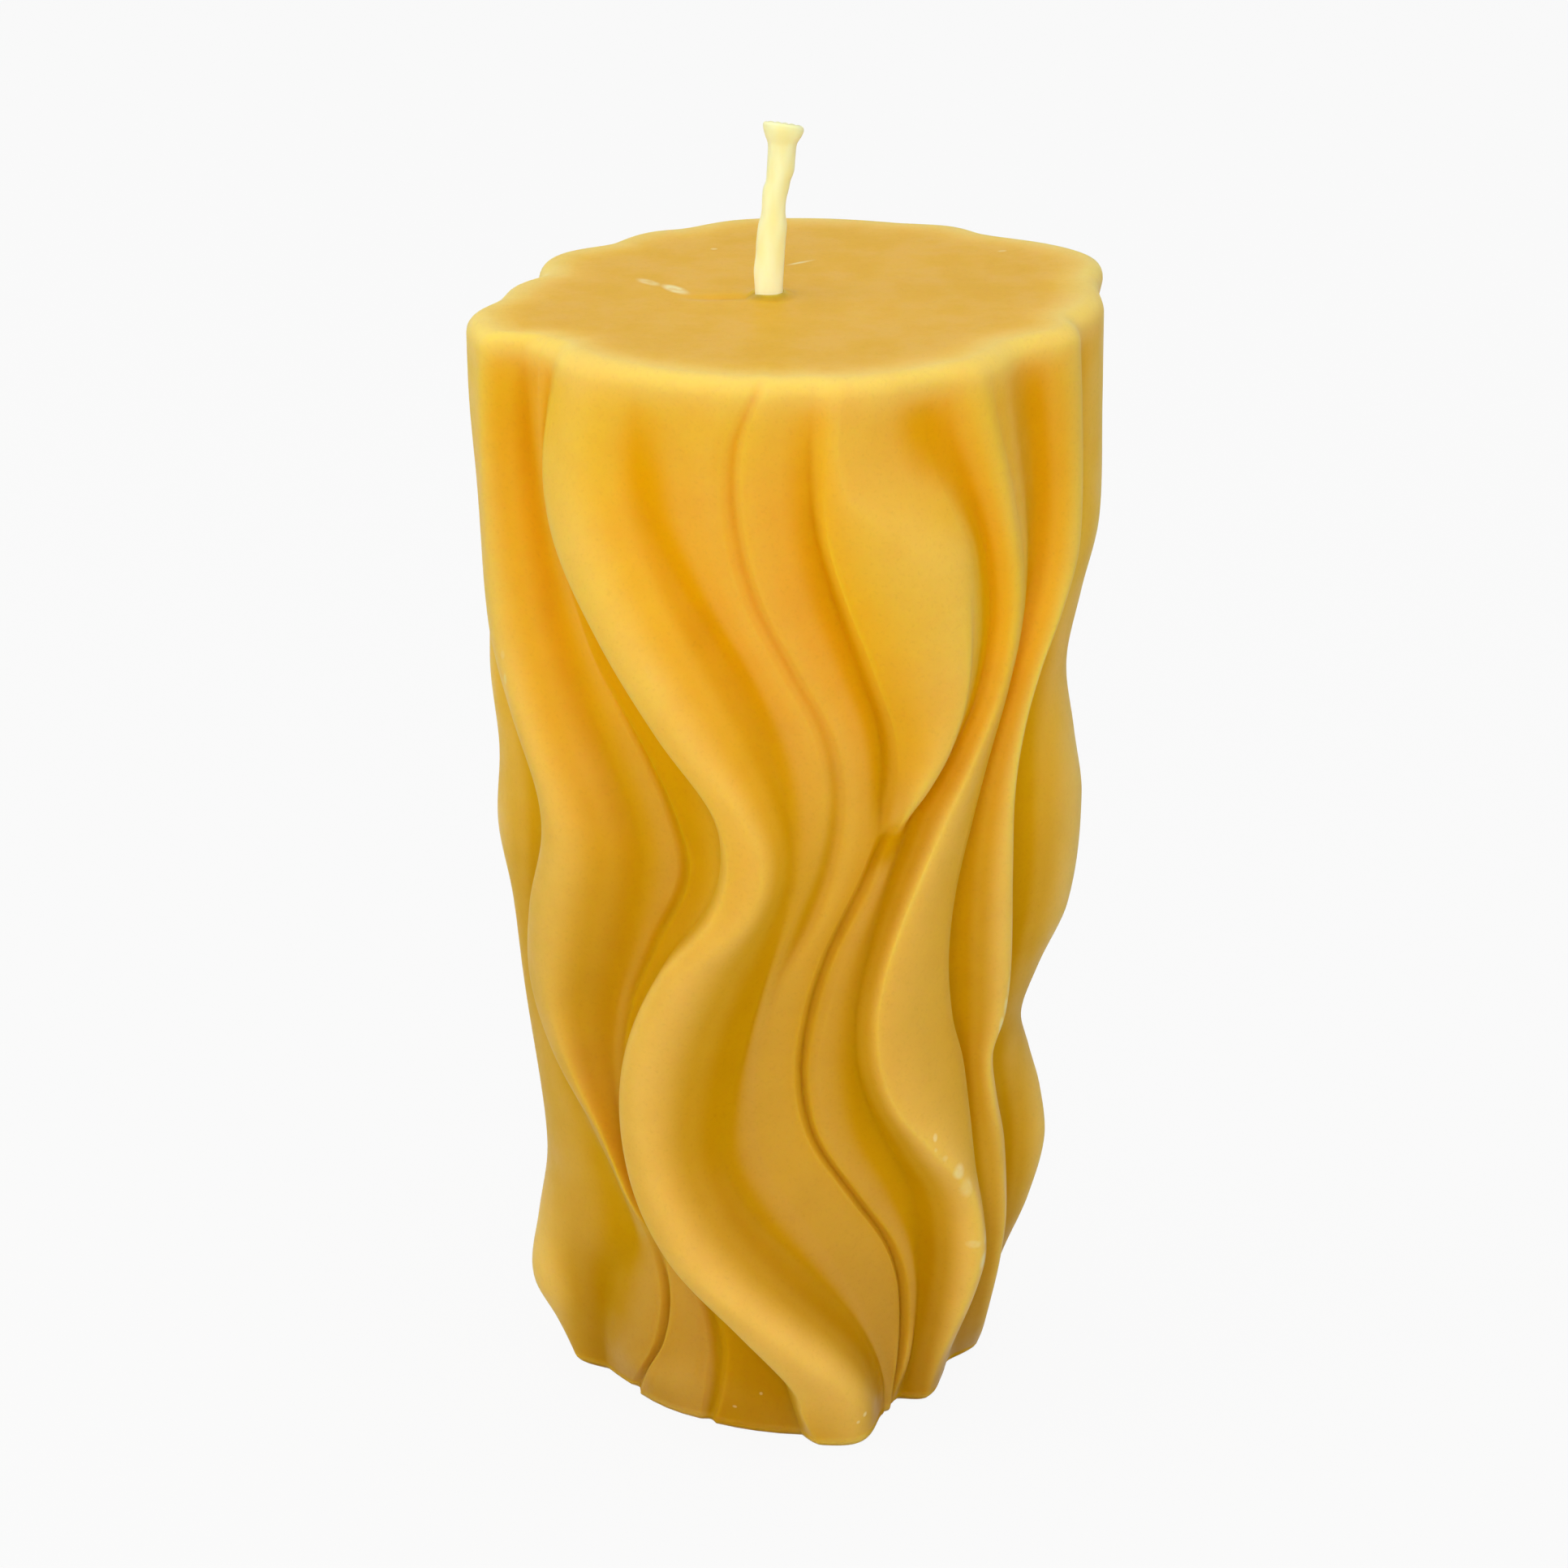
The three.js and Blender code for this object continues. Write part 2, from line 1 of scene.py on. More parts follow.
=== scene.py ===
import math
import bpy
import numpy as np
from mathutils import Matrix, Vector


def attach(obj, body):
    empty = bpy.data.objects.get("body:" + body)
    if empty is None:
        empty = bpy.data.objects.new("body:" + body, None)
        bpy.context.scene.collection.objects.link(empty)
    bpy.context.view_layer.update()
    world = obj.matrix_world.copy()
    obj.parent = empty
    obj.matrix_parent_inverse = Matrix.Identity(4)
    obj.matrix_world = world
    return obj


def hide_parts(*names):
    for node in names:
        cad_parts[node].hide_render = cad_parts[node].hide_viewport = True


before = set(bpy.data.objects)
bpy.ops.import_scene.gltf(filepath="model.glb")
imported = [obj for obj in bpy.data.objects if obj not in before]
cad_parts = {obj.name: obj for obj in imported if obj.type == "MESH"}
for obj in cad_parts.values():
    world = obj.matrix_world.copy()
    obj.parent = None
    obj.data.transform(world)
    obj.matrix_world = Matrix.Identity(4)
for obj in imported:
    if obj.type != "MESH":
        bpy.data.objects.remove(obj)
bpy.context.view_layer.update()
mm = 0.001
print("frame: the packed candle is in place")


# The cast column. Sizes are in mm and angles in degrees, 0 at the front and 90 on the +X side.
wax = {
    "height": 127.5,
    "coreAtBase": 21.6,
    "coreAtTop": 31,
    "foldDepth": 7,
    "foldSwell": [           # height %, share of that depth
        (0, 0.7), (10, 1.04), (25, 0.97), (55, 1), (78, 0.9), (100, 0.71)],
    "grooveHalfWidth": 1.3,
    "grooveDepth": 1.35,
    "grooveLeastWidth": 0.35,     # share of its width that a groove keeps where it runs out
    "leastLineGap": 0.35,
    "rimRound": 2.2,
    "baseRound": 0.8,
    "footAngles": (68, 45, 22, 0),     # where the rows of the rounded foot lie
    "dish": 0.1,             # how far the top face sinks toward its middle
    "dishReach": 22,
    "meniscus": 0.6,         # how far the wax creeps up the wick
    "meniscusReach": 0.7,
    "trough": {              # beside the wick
        "x": -6.2, "y": 0.2, "slant": 0.08, "halfLength": 4.2, "halfWidth": 0.9, "depth": 0.3},
    "topSpacing": 0.9,       # below 1, the rows of the top lie closer together near the wick
    "topStart": 6,           # the top's own shape is full one sixth of the way in
    "finerCells": 4,         # columns in each cell between two fold lines
    "sideRows": 198,
    "rimRows": 12,
    "topRows": 26,
    "boreRows": 6,
    "baseRows": 8,
    "softening": 7,          # passes that round the creases off
    "creaseReach": 60,       # passes for how deep a place lies between its close neighbours
    "hollowReach": 400,      # and further passes, for how deep it lies in the folds around it
    "wallReach": 30,         # passes that spread the walls' painted shade
    "rimHighlightReach": 2.9,         # the rim's painted highlight fades out over this height down the side
    "rimMargin": 0.3,        # share of that height in which the folds bring no painted shade or highlight of their own
    "rimHighlightOnTop": 1.7,         # the fade inward on the top face of the rim's painted highlight
    "topShadeReach": 3.6,         # and the distance over which the top's painted shade begins
}

# The fold lines, in order round the candle. A point is (height %, angle, relief %), with relief 0
# on the core and 100 on the full fold, and a groove's points end in its depth %. turn is how
# sharply the surface breaks at the line, and cells is how many steps it takes to the next one.
wax["foldLines"] = [
    # left shoulder, which ends in a tip over the low core, and the fold behind it
    {"name": "outer fold crest", "turn": 0, "cells": 4,
     "points": [(0, -82, 58), (4, -84, 78), (8, -86, 100), (14, -87, 78), (21, -88, 56),
                (37, -90, 70), (45, -90, 74), (52, -90, 86), (59, -91, 73), (67, -92, 78),
                (82, -95, 50), (100, -97, 6)]},
    {"name": "outer fold foot", "turn": 0.5, "cells": 2,
     "points": [(0, -73, -3), (6, -66, 0), (12, -58, 0), (17, -47, 2), (22, -48.5, 14),
                (28, -57, 30), (34, -69, 38), (40, -76.5, 38), (47, -74, 30), (55, -64, 22),
                (60, -65, 24), (66, -75, 30), (73, -86, 38), (84, -89, 40), (100, -88, 20)]},
    {"name": "shoulder edge", "turn": 0.3, "cells": 2,
     "points": [(0, -60, -20), (3.5, -49, 2), (7, -42, 0), (12, -38.5, 0), (17, -40, 8),
                (22, -42.8, 38), (28, -49, 55), (34, -62, 70), (40, -70, 76), (47, -66, 77),
                (55, -57, 77), (60, -58, 76), (66, -67, 77), (73, -79, 77), (84, -82, 76),
                (92, -81, 87), (100, -79, 88)]},
    {"name": "shoulder crest", "turn": 0, "cells": 4,
     "points": [(0, -57, -28), (3.5, -47, -13), (7, -40, -13), (12, -36.5, -13), (17, -38, 4),
                (22, -41.7, 40), (28, -47, 58), (34, -55, 72), (40, -61, 79), (47, -58, 82),
                (55, -50.5, 82), (60, -52.5, 84), (66, -60.5, 86), (73, -69, 89), (84, -71, 89),
                (92, -69.5, 91), (100, -66, 100)]},
    {"name": "shoulder flank", "turn": 0.3, "cells": 1,
     "points": [(0, -52, -12), (3.5, -45, 4), (7, -38, 0), (12, -34.5, 0), (17, -35.8, 3),
                (22, -40.7, 15), (28, -45.3, 20), (34, -49, 12), (40, -46.5, 5), (47, -39.2, 3),
                (55, -34.4, 3), (60, -37.6, 3), (66, -45, 4), (73, -53.5, 5), (78, -57.8, 6),
                (84, -61.2, 7), (91, -62.6, 9), (100, -59, 26)]},
    {"name": "shoulder groove", "turn": 0.2, "groove": True, "cells": 1,
     "points": [(0, -24, 8, 80), (4, -21, 8, 100), (8, -20, 0, 100), (12, -23, 0, 80),
                (16, -31.5, 0, 0), (22, -39.3, 12, 0), (28, -43.6, 18, 0), (34, -45.8, 9, 30),
                (40, -42.8, 4, 45), (47, -33.3, 2, 55), (54, -24, 6, 60), (60, -27, 6, 55),
                (66, -35, 5, 40), (73, -47, 5, 0), (84, -57.4, 8, 0), (91, -59, 9, 0),
                (100, -55.5, 14, 0)]},
    # the main fold, which winds from the top left to a foot at the front right
    {"name": "main fold foot", "turn": 0.7, "cells": 2,
     "points": [(0, 5.2, 40), (3, 2.4, 22), (6, -1, 6), (12, -15, 0), (18, -32, 0), (24, -40, 14),
                (31, -42.8, 15), (38, -39.8, 4), (46, -28.2, 18), (52, -16.8, 36), (57, -13.4, 42),
                (62, -16.2, 34), (68, -28, 16), (76, -41.4, 8), (84, -54.3, 6), (91, -56.2, 6),
                (100, -51.5, 0)]},
    {"name": "main fold edge", "turn": 0.35, "cells": 2,
     "points": [(0, 9, 98), (3, 5, 93), (6, 2.6, 90), (12, -10.6, 88), (18, -26, 88),
                (24, -34.5, 88), (31, -37, 88), (38, -34, 90), (46, -25, 90), (52, -13.8, 90),
                (57, -10.6, 90), (62, -13.4, 90), (68, -23.3, 90), (76, -35.6, 90),
                (84, -46.5, 80), (91, -50.6, 58), (100, -46, 26)]},
    {"name": "main fold crest", "turn": 0, "cells": 4,
     "points": [(0, 17, 113), (6, 13, 103), (12, -2, 100), (18, -19, 100), (24, -27, 100),
                (31, -31, 100), (38, -29, 100), (46, -20, 100), (52, -8, 100), (57, -4.4, 100),
                (62, -8, 100), (68, -17.5, 100), (76, -29.8, 98), (84, -39.5, 88), (91, -42.5, 68),
                (95, -41, 58), (100, -37, 40)]},
    {"name": "main fold far foot", "turn": 0.3, "cells": 2,
     "points": [(0, 32.2, -6), (4, 31, -6), (9, 23.5, 0), (13, 14, 0), (17, 3.6, 0), (22, -9, 0),
                (27, -15.6, 0), (33, -14, 0), (39, -9.5, 2), (45, -4.7, 9), (50, -1, 18),
                (56, 1.8, 24), (62, 0.4, 20), (68, -4.2, 15), (74, -10.7, 12), (80, -18.8, 14),
                (86, -25.6, 16), (91, -28, 18), (96, -28, 30), (100, -26.5, 50)]},
    # the flat strip in the middle, with a long groove down it
    {"name": "middle groove", "turn": 0.2, "groove": True, "cells": 2,
     "points": [(0, 33.8, -10, 0), (4, 33, -6, 0), (9, 27.3, 0, 0), (14, 19.5, 0, 0),
                (20, 8, 0, 0), (27, -5, 0, 0), (36, -6.6, 2, 0), (44, -2, 6, 30),
                (50, 4.6, 12, 100), (56, 9.7, 18, 100), (62, 11.2, 25, 100), (68, 8.3, 32, 100),
                (74, 1.1, 37, 100), (80, -5.8, 40, 100), (87, -9.7, 43, 100), (94, -9.4, 50, 90),
                (100, -4, 62, 50)]},
    # the leaf-shaped fold at the upper right: below its tip these three lines are one groove
    {"name": "leaf foot", "turn": 0.4, "cells": 2,
     "points": [(0, 35.4, -18), (5, 35.6, 0), (10, 35.6, 0), (14, 33.6, 0), (18, 28.3, 0),
                (23, 17.6, 0), (29, 6.2, 0), (35, 2.5, 0), (41, 4.2, 0), (47, 9, 2), (53, 16.5, 3),
                (57, 20.6, 3), (60, 21.8, 3), (67, 21, 6), (74, 15, 11), (80, 10, 14), (86, 6, 20),
                (92, 4.4, 28), (97, 4.4, 40), (100, 5, 54)]},
    {"name": "leaf near edge", "turn": 0.5, "cells": 3,
     "points": [(0, 36.6, -26), (5, 37.3, -16), (10, 37.6, -16), (14, 35.6, -16), (18, 30.3, -16),
                (23, 19.6, -16), (29, 8.2, -16), (35, 4.5, -16), (41, 6.2, -16), (47, 11, -14),
                (53, 18.8, -13), (57, 23, -8), (60, 23.7, 34), (67, 23.2, 48), (74, 17.7, 53),
                (80, 12.3, 56), (86, 8.2, 59), (92, 7.2, 62), (100, 8, 66)]},
    {"name": "leaf crest", "turn": 0.1, "cells": 2,
     "points": [(0, 37.9, -33), (5, 39, 0), (10, 39.4, 0), (14, 37.6, 0), (18, 32.3, 0),
                (23, 21.6, 0), (29, 10.2, 0), (35, 6.5, 0), (41, 8.2, 0), (47, 13, 2), (53, 21, 3),
                (57, 25, 4), (60, 25.4, 50), (62.5, 26.8, 74), (66, 30.2, 90), (70, 33.3, 97),
                (74, 34, 100), (78, 32.3, 99), (81.5, 28.8, 97), (84.5, 24.5, 92), (87, 18.5, 85),
                (89.5, 12.5, 77), (93, 10.2, 69), (100, 10.6, 70)]},
    {"name": "leaf far edge", "turn": 0.7, "cells": 2,
     "points": [(0, 39.3, -38), (5, 40.8, -2), (10, 41, 0), (14, 39.4, 0), (18, 34.8, 0),
                (23, 24.5, 1), (29, 13, 2), (35, 8.8, 3), (41, 10.3, 4), (47, 15.2, 5),
                (53, 22.9, 5), (57, 26.7, 5), (60, 27.6, 36), (62.5, 29.8, 62), (66, 33, 79),
                (70, 35.1, 88), (74, 35.8, 93), (79, 35.8, 91), (84, 34.9, 82), (88, 31.8, 57),
                (92, 28.6, 32), (96, 26.3, 27), (100, 26, 58)]},
    # the right fold, in front of the leaf above and with a crisp left edge below
    {"name": "right fold foot", "turn": 0.6, "cells": 3,
     "points": [(0, 43.5, -48), (5, 42.8, -15), (11, 42.4, 0), (17, 40.5, 0), (23, 35.5, 0),
                (29, 26, 2), (35, 19, 8), (41, 17.3, 12), (47, 20, 10), (53, 24.8, 6),
                (57, 28.3, 6), (60, 30, 8), (63, 34.6, 18), (66, 38.2, 26), (70, 42.4, 30),
                (76, 44.8, 31), (82, 43.2, 28), (86, 40.4, 24), (90, 36.8, 22), (94, 33.4, 25),
                (97, 32, 34), (100, 31, 52)]},
    {"name": "right fold crest", "turn": 0.1, "cells": 2,
     "points": [(0, 50, 4), (4, 48.4, 30), (8, 48, 56), (12, 48, 79), (17, 47.8, 98),
                (23, 44, 100), (28, 34.5, 95), (33, 24.8, 82), (39, 20.4, 72), (45, 21, 70),
                (51, 24.8, 72), (58, 31.5, 76), (65, 40, 75), (70, 46, 72), (74, 48.6, 71),
                (79, 49.3, 70), (85, 46.9, 67), (90, 43.8, 62), (95, 40, 58), (100, 37, 56)]},
    {"name": "right fold far edge", "turn": 0.25, "cells": 2,
     "points": [(0, 64, -30), (4, 60.5, 2), (10, 56.8, 42), (15, 54.5, 70), (20, 50.8, 80),
                (25, 47.3, 80), (31, 45.2, 70), (36, 43.2, 61), (40, 39.8, 57), (46, 37.8, 55),
                (52, 38.8, 52), (58, 42.2, 50), (64, 46, 52), (70, 50.2, 57), (76, 53, 59),
                (82, 52.2, 56), (88, 49, 49), (95, 44, 43), (100, 41.3, 42)]},
    {"name": "right valley", "turn": 0.25, "cells": 3,
     "points": [(0, 76, -46), (4, 69, -15), (10, 63, 20), (15, 59.5, 44), (20, 55.5, 50),
                (25, 51.2, 42), (31, 48.6, 28), (36, 46.5, 16), (41, 43.5, 8), (46, 41.6, 4),
                (54, 43, 6), (61, 47.2, 12), (68, 53, 20), (74, 58.6, 19), (80, 62, 13),
                (87, 61.4, 6), (94, 57, 3), (100, 52, 8)]},
    {"name": "side fold crest", "turn": 0.3, "cells": 2,
     "points": [(0, 91, 24), (4, 79, 34), (8, 71.5, 45), (13, 66, 62), (18, 63.2, 74),
                (25, 59.7, 74), (31, 54.5, 72), (35, 52.5, 70), (38.5, 55.5, 76), (43, 56, 76),
                (52, 53.5, 76), (60, 52.2, 76), (66, 54.2, 76), (71, 58.5, 78), (75, 65, 80),
                (80, 71.5, 84), (88, 73, 76), (100, 68, 68)]},
    {"name": "side fold foot", "turn": 0.6, "cells": 4,
     "points": [(0, 106, -10), (6, 89, 5), (12, 79, 15), (18, 74, 25), (25, 70, 25), (31, 63, 14),
                (36, 60.5, 8), (43, 62.5, 10), (52, 60, 10), (60, 57.5, 10), (66, 59.5, 15),
                (71, 65, 28), (75, 72, 45), (80, 77, 55), (88, 78.5, 48), (100, 75.5, 34)]},
    {"name": "flank fold crest", "turn": 0, "cells": 2,
     "points": [(0, 112, 20), (5, 100, 36), (10, 92, 45), (16, 88, 75), (22, 87, 97), (27, 86, 82),
                (31, 85, 56), (34.5, 84, 37), (39, 86, 58), (45, 88, 98), (55, 88, 102),
                (61, 88, 80), (67.5, 88, 57), (74, 90, 74), (80, 92, 98), (90, 94, 95),
                (100, 93, 86)]},
    # the back: five more folds of the same kind, with one groove between two of them
    {"name": "flank fold foot", "turn": 0.6, "cells": 3,
     "points": [(0, 118, 0), (17, 104, 10), (34, 99, 0), (50, 104, 10), (67, 106, 15),
                (84, 108, 40), (100, 103, 100)]},
    {"name": "back right crest", "turn": 0, "cells": 3,
     "points": [(0, 127, 90), (17, 114, 92), (34, 111, 60), (50, 116, 92), (67, 121, 92),
                (84, 121, 110), (100, 118, 182)]},
    {"name": "back right foot", "turn": 0.6, "cells": 2,
     "points": [(0, 138, 0), (17, 127, 5), (34, 119, 0), (50, 127, 5), (67, 136, 10),
                (84, 141, 30), (100, 139, 104)]},
    {"name": "back middle crest", "turn": 0.15, "cells": 4,
     "points": [(0, 148, 90), (17, 135, 96), (34, 126, 95), (50, 134, 92), (67, 145, 95),
                (84, 151, 95), (100, 147, 130)]},
    {"name": "back middle foot", "turn": 0.3, "cells": 2,
     "points": [(0, 161, -8), (17, 152, 4), (34, 143, 0), (50, 148, 4), (67, 158, 6),
                (84, 163, 38), (100, 158, 98)]},
    {"name": "back groove", "turn": 0.2, "groove": True, "cells": 2,
     "points": [(0, 168, -10, 0), (17, 160, 2, 100), (34, 151, 0, 100), (50, 154, 2, 100),
                (67, 165, 5, 100), (84, 171, 38, 80), (100, 166, 96, 0)]},
    {"name": "back left foot", "turn": 0.6, "cells": 3,
     "points": [(0, 174, 0), (17, 169, 4), (34, 160, 0), (50, 162, 4), (67, 173, 5), (84, 180, 36),
                (100, 175, 94)]},
    {"name": "back left crest", "turn": 0, "cells": 3,
     "points": [(0, 184, 90), (17, 181, 96), (34, 171, 94), (50, 170, 95), (67, 180, 92),
                (84, 189, 84), (100, 186, 90)]},
    {"name": "left rear foot", "turn": 0.6, "cells": 2,
     "points": [(0, 197, 0), (17, 199, 5), (34, 190, 0), (50, 185, 5), (67, 192, 5), (84, 202, 10),
                (100, 201, 36)]},
    {"name": "left rear crest", "turn": 0.15, "cells": 4,
     "points": [(0, 206, 90), (17, 210, 95), (34, 202, 93), (50, 195, 95), (67, 200, 92),
                (84, 209, 72), (100, 208, 46)]},
    {"name": "left rear valley", "turn": 0.5, "cells": 3,
     "points": [(0, 221, -5), (17, 227, 5), (34, 219, 0), (50, 211, 5), (67, 213, 5), (84, 220, 0),
                (100, 221, 0)]},
    {"name": "left flank crest", "turn": 0, "cells": 3,
     "points": [(0, 234, 85), (17, 240, 95), (34, 234, 92), (50, 226, 95), (67, 226, 92),
                (84, 232, 60), (100, 234, 30)]},
    {"name": "left flank foot", "turn": 0.6, "cells": 4,
     "points": [(0, 249, -10), (17, 254, 5), (34, 250, 15), (50, 243, 15), (67, 242, 10),
                (84, 246, -8), (100, 250, -42)]},
]


def smoothCurve(points, column, place):
    # Cubic pieces through the points: each point's slope is that of the line between its
    # neighbours, and between two points the cubic in t meets both values and both slopes.
    knots = np.array([point[0] for point in points], float)
    values = np.array([point[column] for point in points], float)
    index = np.arange(len(knots))
    behind, ahead = np.maximum(index - 1, 0), np.minimum(index + 1, len(knots) - 1)
    slopes = (values[ahead] - values[behind]) / (knots[ahead] - knots[behind])
    i = np.clip(np.searchsorted(knots, place) - 1, 0, len(knots) - 2)
    span = knots[i + 1] - knots[i]
    t = np.clip((place - knots[i]) / span, 0, 1)
    return (values[i] * (2 * t**3 - 3 * t**2 + 1) + values[i + 1] * (3 * t**2 - 2 * t**3)
            + slopes[i] * span * (t**3 - 2 * t**2 + t) + slopes[i + 1] * span * (t**3 - t**2))


def foldCrossings(share):
    # Angle and radius of each fold line at every row. The radius is the tapering core plus
    # fold depth * swell * relief. A groove becomes three lines: a deeper bottom, and a lip half the
    # groove's width to each side of it.
    core = wax["coreAtBase"] + (wax["coreAtTop"] - wax["coreAtBase"]) * share / 100
    depth = wax["foldDepth"] * smoothCurve(wax["foldSwell"], 1, share) / 100
    found = []
    for line in wax["foldLines"]:
        angle = smoothCurve(line["points"], 1, share)
        radius = core + depth * smoothCurve(line["points"], 2, share)
        if not line.get("groove"):
            found.append([angle, radius, line["turn"], line["cells"]])
            continue
        strength = np.maximum(smoothCurve(line["points"], 3, share), 0) / 100
        width = wax["grooveLeastWidth"] + (1 - wax["grooveLeastWidth"]) * strength
        half = np.degrees(wax["grooveHalfWidth"] * width / radius)
        found.append([angle - half, radius, line["turn"], 1])
        found.append([angle, radius - wax["grooveDepth"] * strength, 0, 1])
        found.append([angle + half, radius, line["turn"], line["cells"]])
    # lines that run together keep a least gap
    for before, after in zip(found, found[1:]):
        after[0] = np.maximum(after[0], before[0] + np.degrees(wax["leastLineGap"] / after[1]))
    return found


def foldSurface(height):
    # Angle and radius on a grid of (row, column). From one line to the next t runs 0 to 1 and the
    # angle goes evenly. With a and b the turns at the two lines, the radius climbs by
    # 3t^2 - 2t^3 + 2 a (t^3 - 2t^2 + t) + 2 b (t^3 - t^2).
    found = foldCrossings(100 * height / wax["height"])
    angles, radii = [], []
    for i, (angle, radius, turn, cells) in enumerate(found):
        nextAngle, nextRadius, nextTurn, _ = found[(i + 1) % len(found)]
        if i == len(found) - 1:
            nextAngle = nextAngle + 360
        t = np.arange(cells * wax["finerCells"]) / (cells * wax["finerCells"])
        climb = (3 * t**2 - 2 * t**3 + 2 * turn * (t**3 - 2 * t**2 + t)
                 + 2 * nextTurn * (t**3 - t**2))
        angles.append(angle[:, None] + (nextAngle - angle)[:, None] * t)
        radii.append(radius[:, None] + (nextRadius - radius)[:, None] * climb)
    return np.radians(np.concatenate(angles, axis=1)), np.concatenate(radii, axis=1)


def soften(values, passes, alongRows=True):
    # Half of each value plus a quarter of both its neighbours, round the ring and up the rows.
    for _ in range(passes):
        values = (np.roll(values, 1, 1) + 2 * values + np.roll(values, -1, 1)) / 4
        if alongRows:
            inner = (values[:-2] + 2 * values[1:-1] + values[2:]) / 4
            values = np.concatenate([values[:1], inner, values[-1:]])
    return values


def sideRows():
    # Heights and insets from base to rim: a rounded foot, even rows, and a rounded rim. On a round
    # of radius R the inset is R (1 - cos a) and the height runs to R (1 - sin a) from the end.
    foot = np.radians(wax["footAngles"])
    rim = np.radians(90 * np.linspace(0, 1, wax["rimRows"] + 1)[1:])
    even = np.linspace(wax["baseRound"], wax["height"] - wax["rimRound"], wax["sideRows"])
    height = np.concatenate([wax["baseRound"] * (1 - np.sin(foot)), even,
                             wax["height"] - wax["rimRound"] * (1 - np.sin(rim))])
    inset = np.concatenate([wax["baseRound"] * (1 - np.cos(foot)), 0 * even,
                            wax["rimRound"] * (1 - np.cos(rim))])
    return height, inset


def onCircle(angle, radius, centre=(0, 0)):
    # x = radius * sin(angle) and y = -radius * cos(angle), so that angle 0 faces the camera.
    return np.stack([centre[0] + radius * np.sin(angle),
                     centre[1] - radius * np.cos(angle)], axis=-1)


def topHeight(point):
    # The top face: a shallow dish, a rise of wax against the wick and a trough beside it. Dish and
    # rise are bell curves, exp(-(distance / reach)^2), and the trough is exp(-across^2 - along^4).
    x, y = point[..., 0], point[..., 1]
    trough = wax["trough"]
    fromWick = np.hypot(x - wick["x"], y - wick["y"]) - wick["radius"]
    across = (y - trough["y"] - trough["slant"] * x) / trough["halfWidth"]
    along = (x - trough["x"]) / trough["halfLength"]
    return (wax["height"] - wax["dish"] * np.exp(-(np.hypot(x, y) / wax["dishReach"]) ** 2)
            + wax["meniscus"] * np.exp(-(fromWick / wax["meniscusReach"]) ** 2)
            - trough["depth"] * np.exp(-across**2 - along**4))


def wallSlope(angle, radius):
    # Sine of the angle between a fold's wall and the ring round the candle: s / sqrt(1 + s^2),
    # where s is the rise of the radius over the way round.
    rise = np.roll(radius, -1, 1) - np.roll(radius, 1, 1)
    turn = (np.roll(angle, -1, 1) - np.roll(angle, 1, 1)) % (2 * np.pi)
    slope = np.abs(rise) / (radius * turn)
    return slope / np.sqrt(1 + slope**2)


def stackRows(base, side, top, bore):
    # A value for each place of the grid, nothing under the base or in the hole.
    return np.concatenate([np.zeros(base.shape[:2]), side, top, np.zeros(bore.shape[:2])])


def columnGrid():
    # One closed ring of rows: under the base from the wick's hole outwards, up the folds, over the
    # rim, in across the top face, and down the hole again. Base, top and hole go straight from one
    # outline to the next: first + (second - first) * share. Returns positions in mm and values for
    # the painted shade and highlights: depth in a crease and in a wide hollow, slope of the wall,
    # share of the top's painted shade, and share of the rim's painted highlight.
    height, inset = sideRows()
    angle, radius = foldSurface(height)
    radius = soften(radius, wax["softening"], alongRows=False)
    nearby = soften(radius, wax["creaseReach"])
    crease = nearby - radius
    hollow = soften(nearby, wax["hollowReach"]) - nearby
    wallShade = soften(wallSlope(angle, radius), wax["wallReach"])
    outline = onCircle(angle, radius - inset[:, None])
    sideZ = np.broadcast_to(height[:, None, None], radius.shape + (1,))
    side = np.concatenate([outline, sideZ], axis=-1)

    hole = onCircle(angle[0], wick["radius"] + wick["fit"], (wick["x"], wick["y"]))
    out = (np.arange(wax["baseRows"]) / wax["baseRows"])[:, None, None]
    base = hole + (onCircle(angle[0], radius[0] - wax["baseRound"]) - hole) * out
    base = np.concatenate([base, 0 * base[..., :1]], axis=-1)

    stubRadius = wick["stubLine"][0][2]
    topHole = onCircle(angle[-1], stubRadius + wick["fit"], (wick["x"], wick["y"]))
    inward = (np.arange(1, wax["topRows"] + 1) / wax["topRows"])[:, None, None] ** wax["topSpacing"]
    top = outline[-1] + (topHole - outline[-1]) * inward
    ownShape = np.minimum(1, wax["topStart"] * inward[..., 0])
    topZ = wax["height"] + (topHeight(top) - wax["height"]) * ownShape
    top = np.concatenate([top, topZ[..., None]], axis=-1)

    down = np.linspace(1, 0, wax["boreRows"] + 1)[1:-1][:, None]
    bore = np.concatenate([np.broadcast_to(hole, (len(down),) + hole.shape),
                           (down * top[-1, :, 2])[..., None]], axis=-1)
    grid = np.concatenate([base, side, top, bore])
    belowRim = np.repeat((wax["height"] - height)[:, None], radius.shape[1], 1) / wax["rimHighlightReach"]
    fade = np.clip(belowRim - wax["rimMargin"], 0, 1)
    fromRim = np.linalg.norm(top[..., :2] - outline[-1], axis=-1)
    topShade = 1 - np.exp(-(fromRim / wax["topShadeReach"]) ** 2)
    rimHighlightOnTop = np.exp(-(fromRim / wax["rimHighlightOnTop"]) ** 2)
    # values for the painted shade in creases, hollows, on walls and on the top, and for the painted
    # highlights on ridges and rim
    paintedShading = {
        "crease": stackRows(base, crease * fade, 0 * fromRim, bore),
        "hollow": stackRows(base, hollow * fade, 0 * fromRim, bore),
        "wallShade": stackRows(base, wallShade * fade, 0 * fromRim, bore),
        "topShade": stackRows(base, 0 * belowRim, topShade, bore),
        "rim": stackRows(base, np.exp(-belowRim**2), rimHighlightOnTop, bore),
    }
    return grid, paintedShading


def addToScene(name, data):
    # A new object that stands in the scene.
    made = bpy.data.objects.new(name, data)
    bpy.context.scene.collection.objects.link(made)
    return made


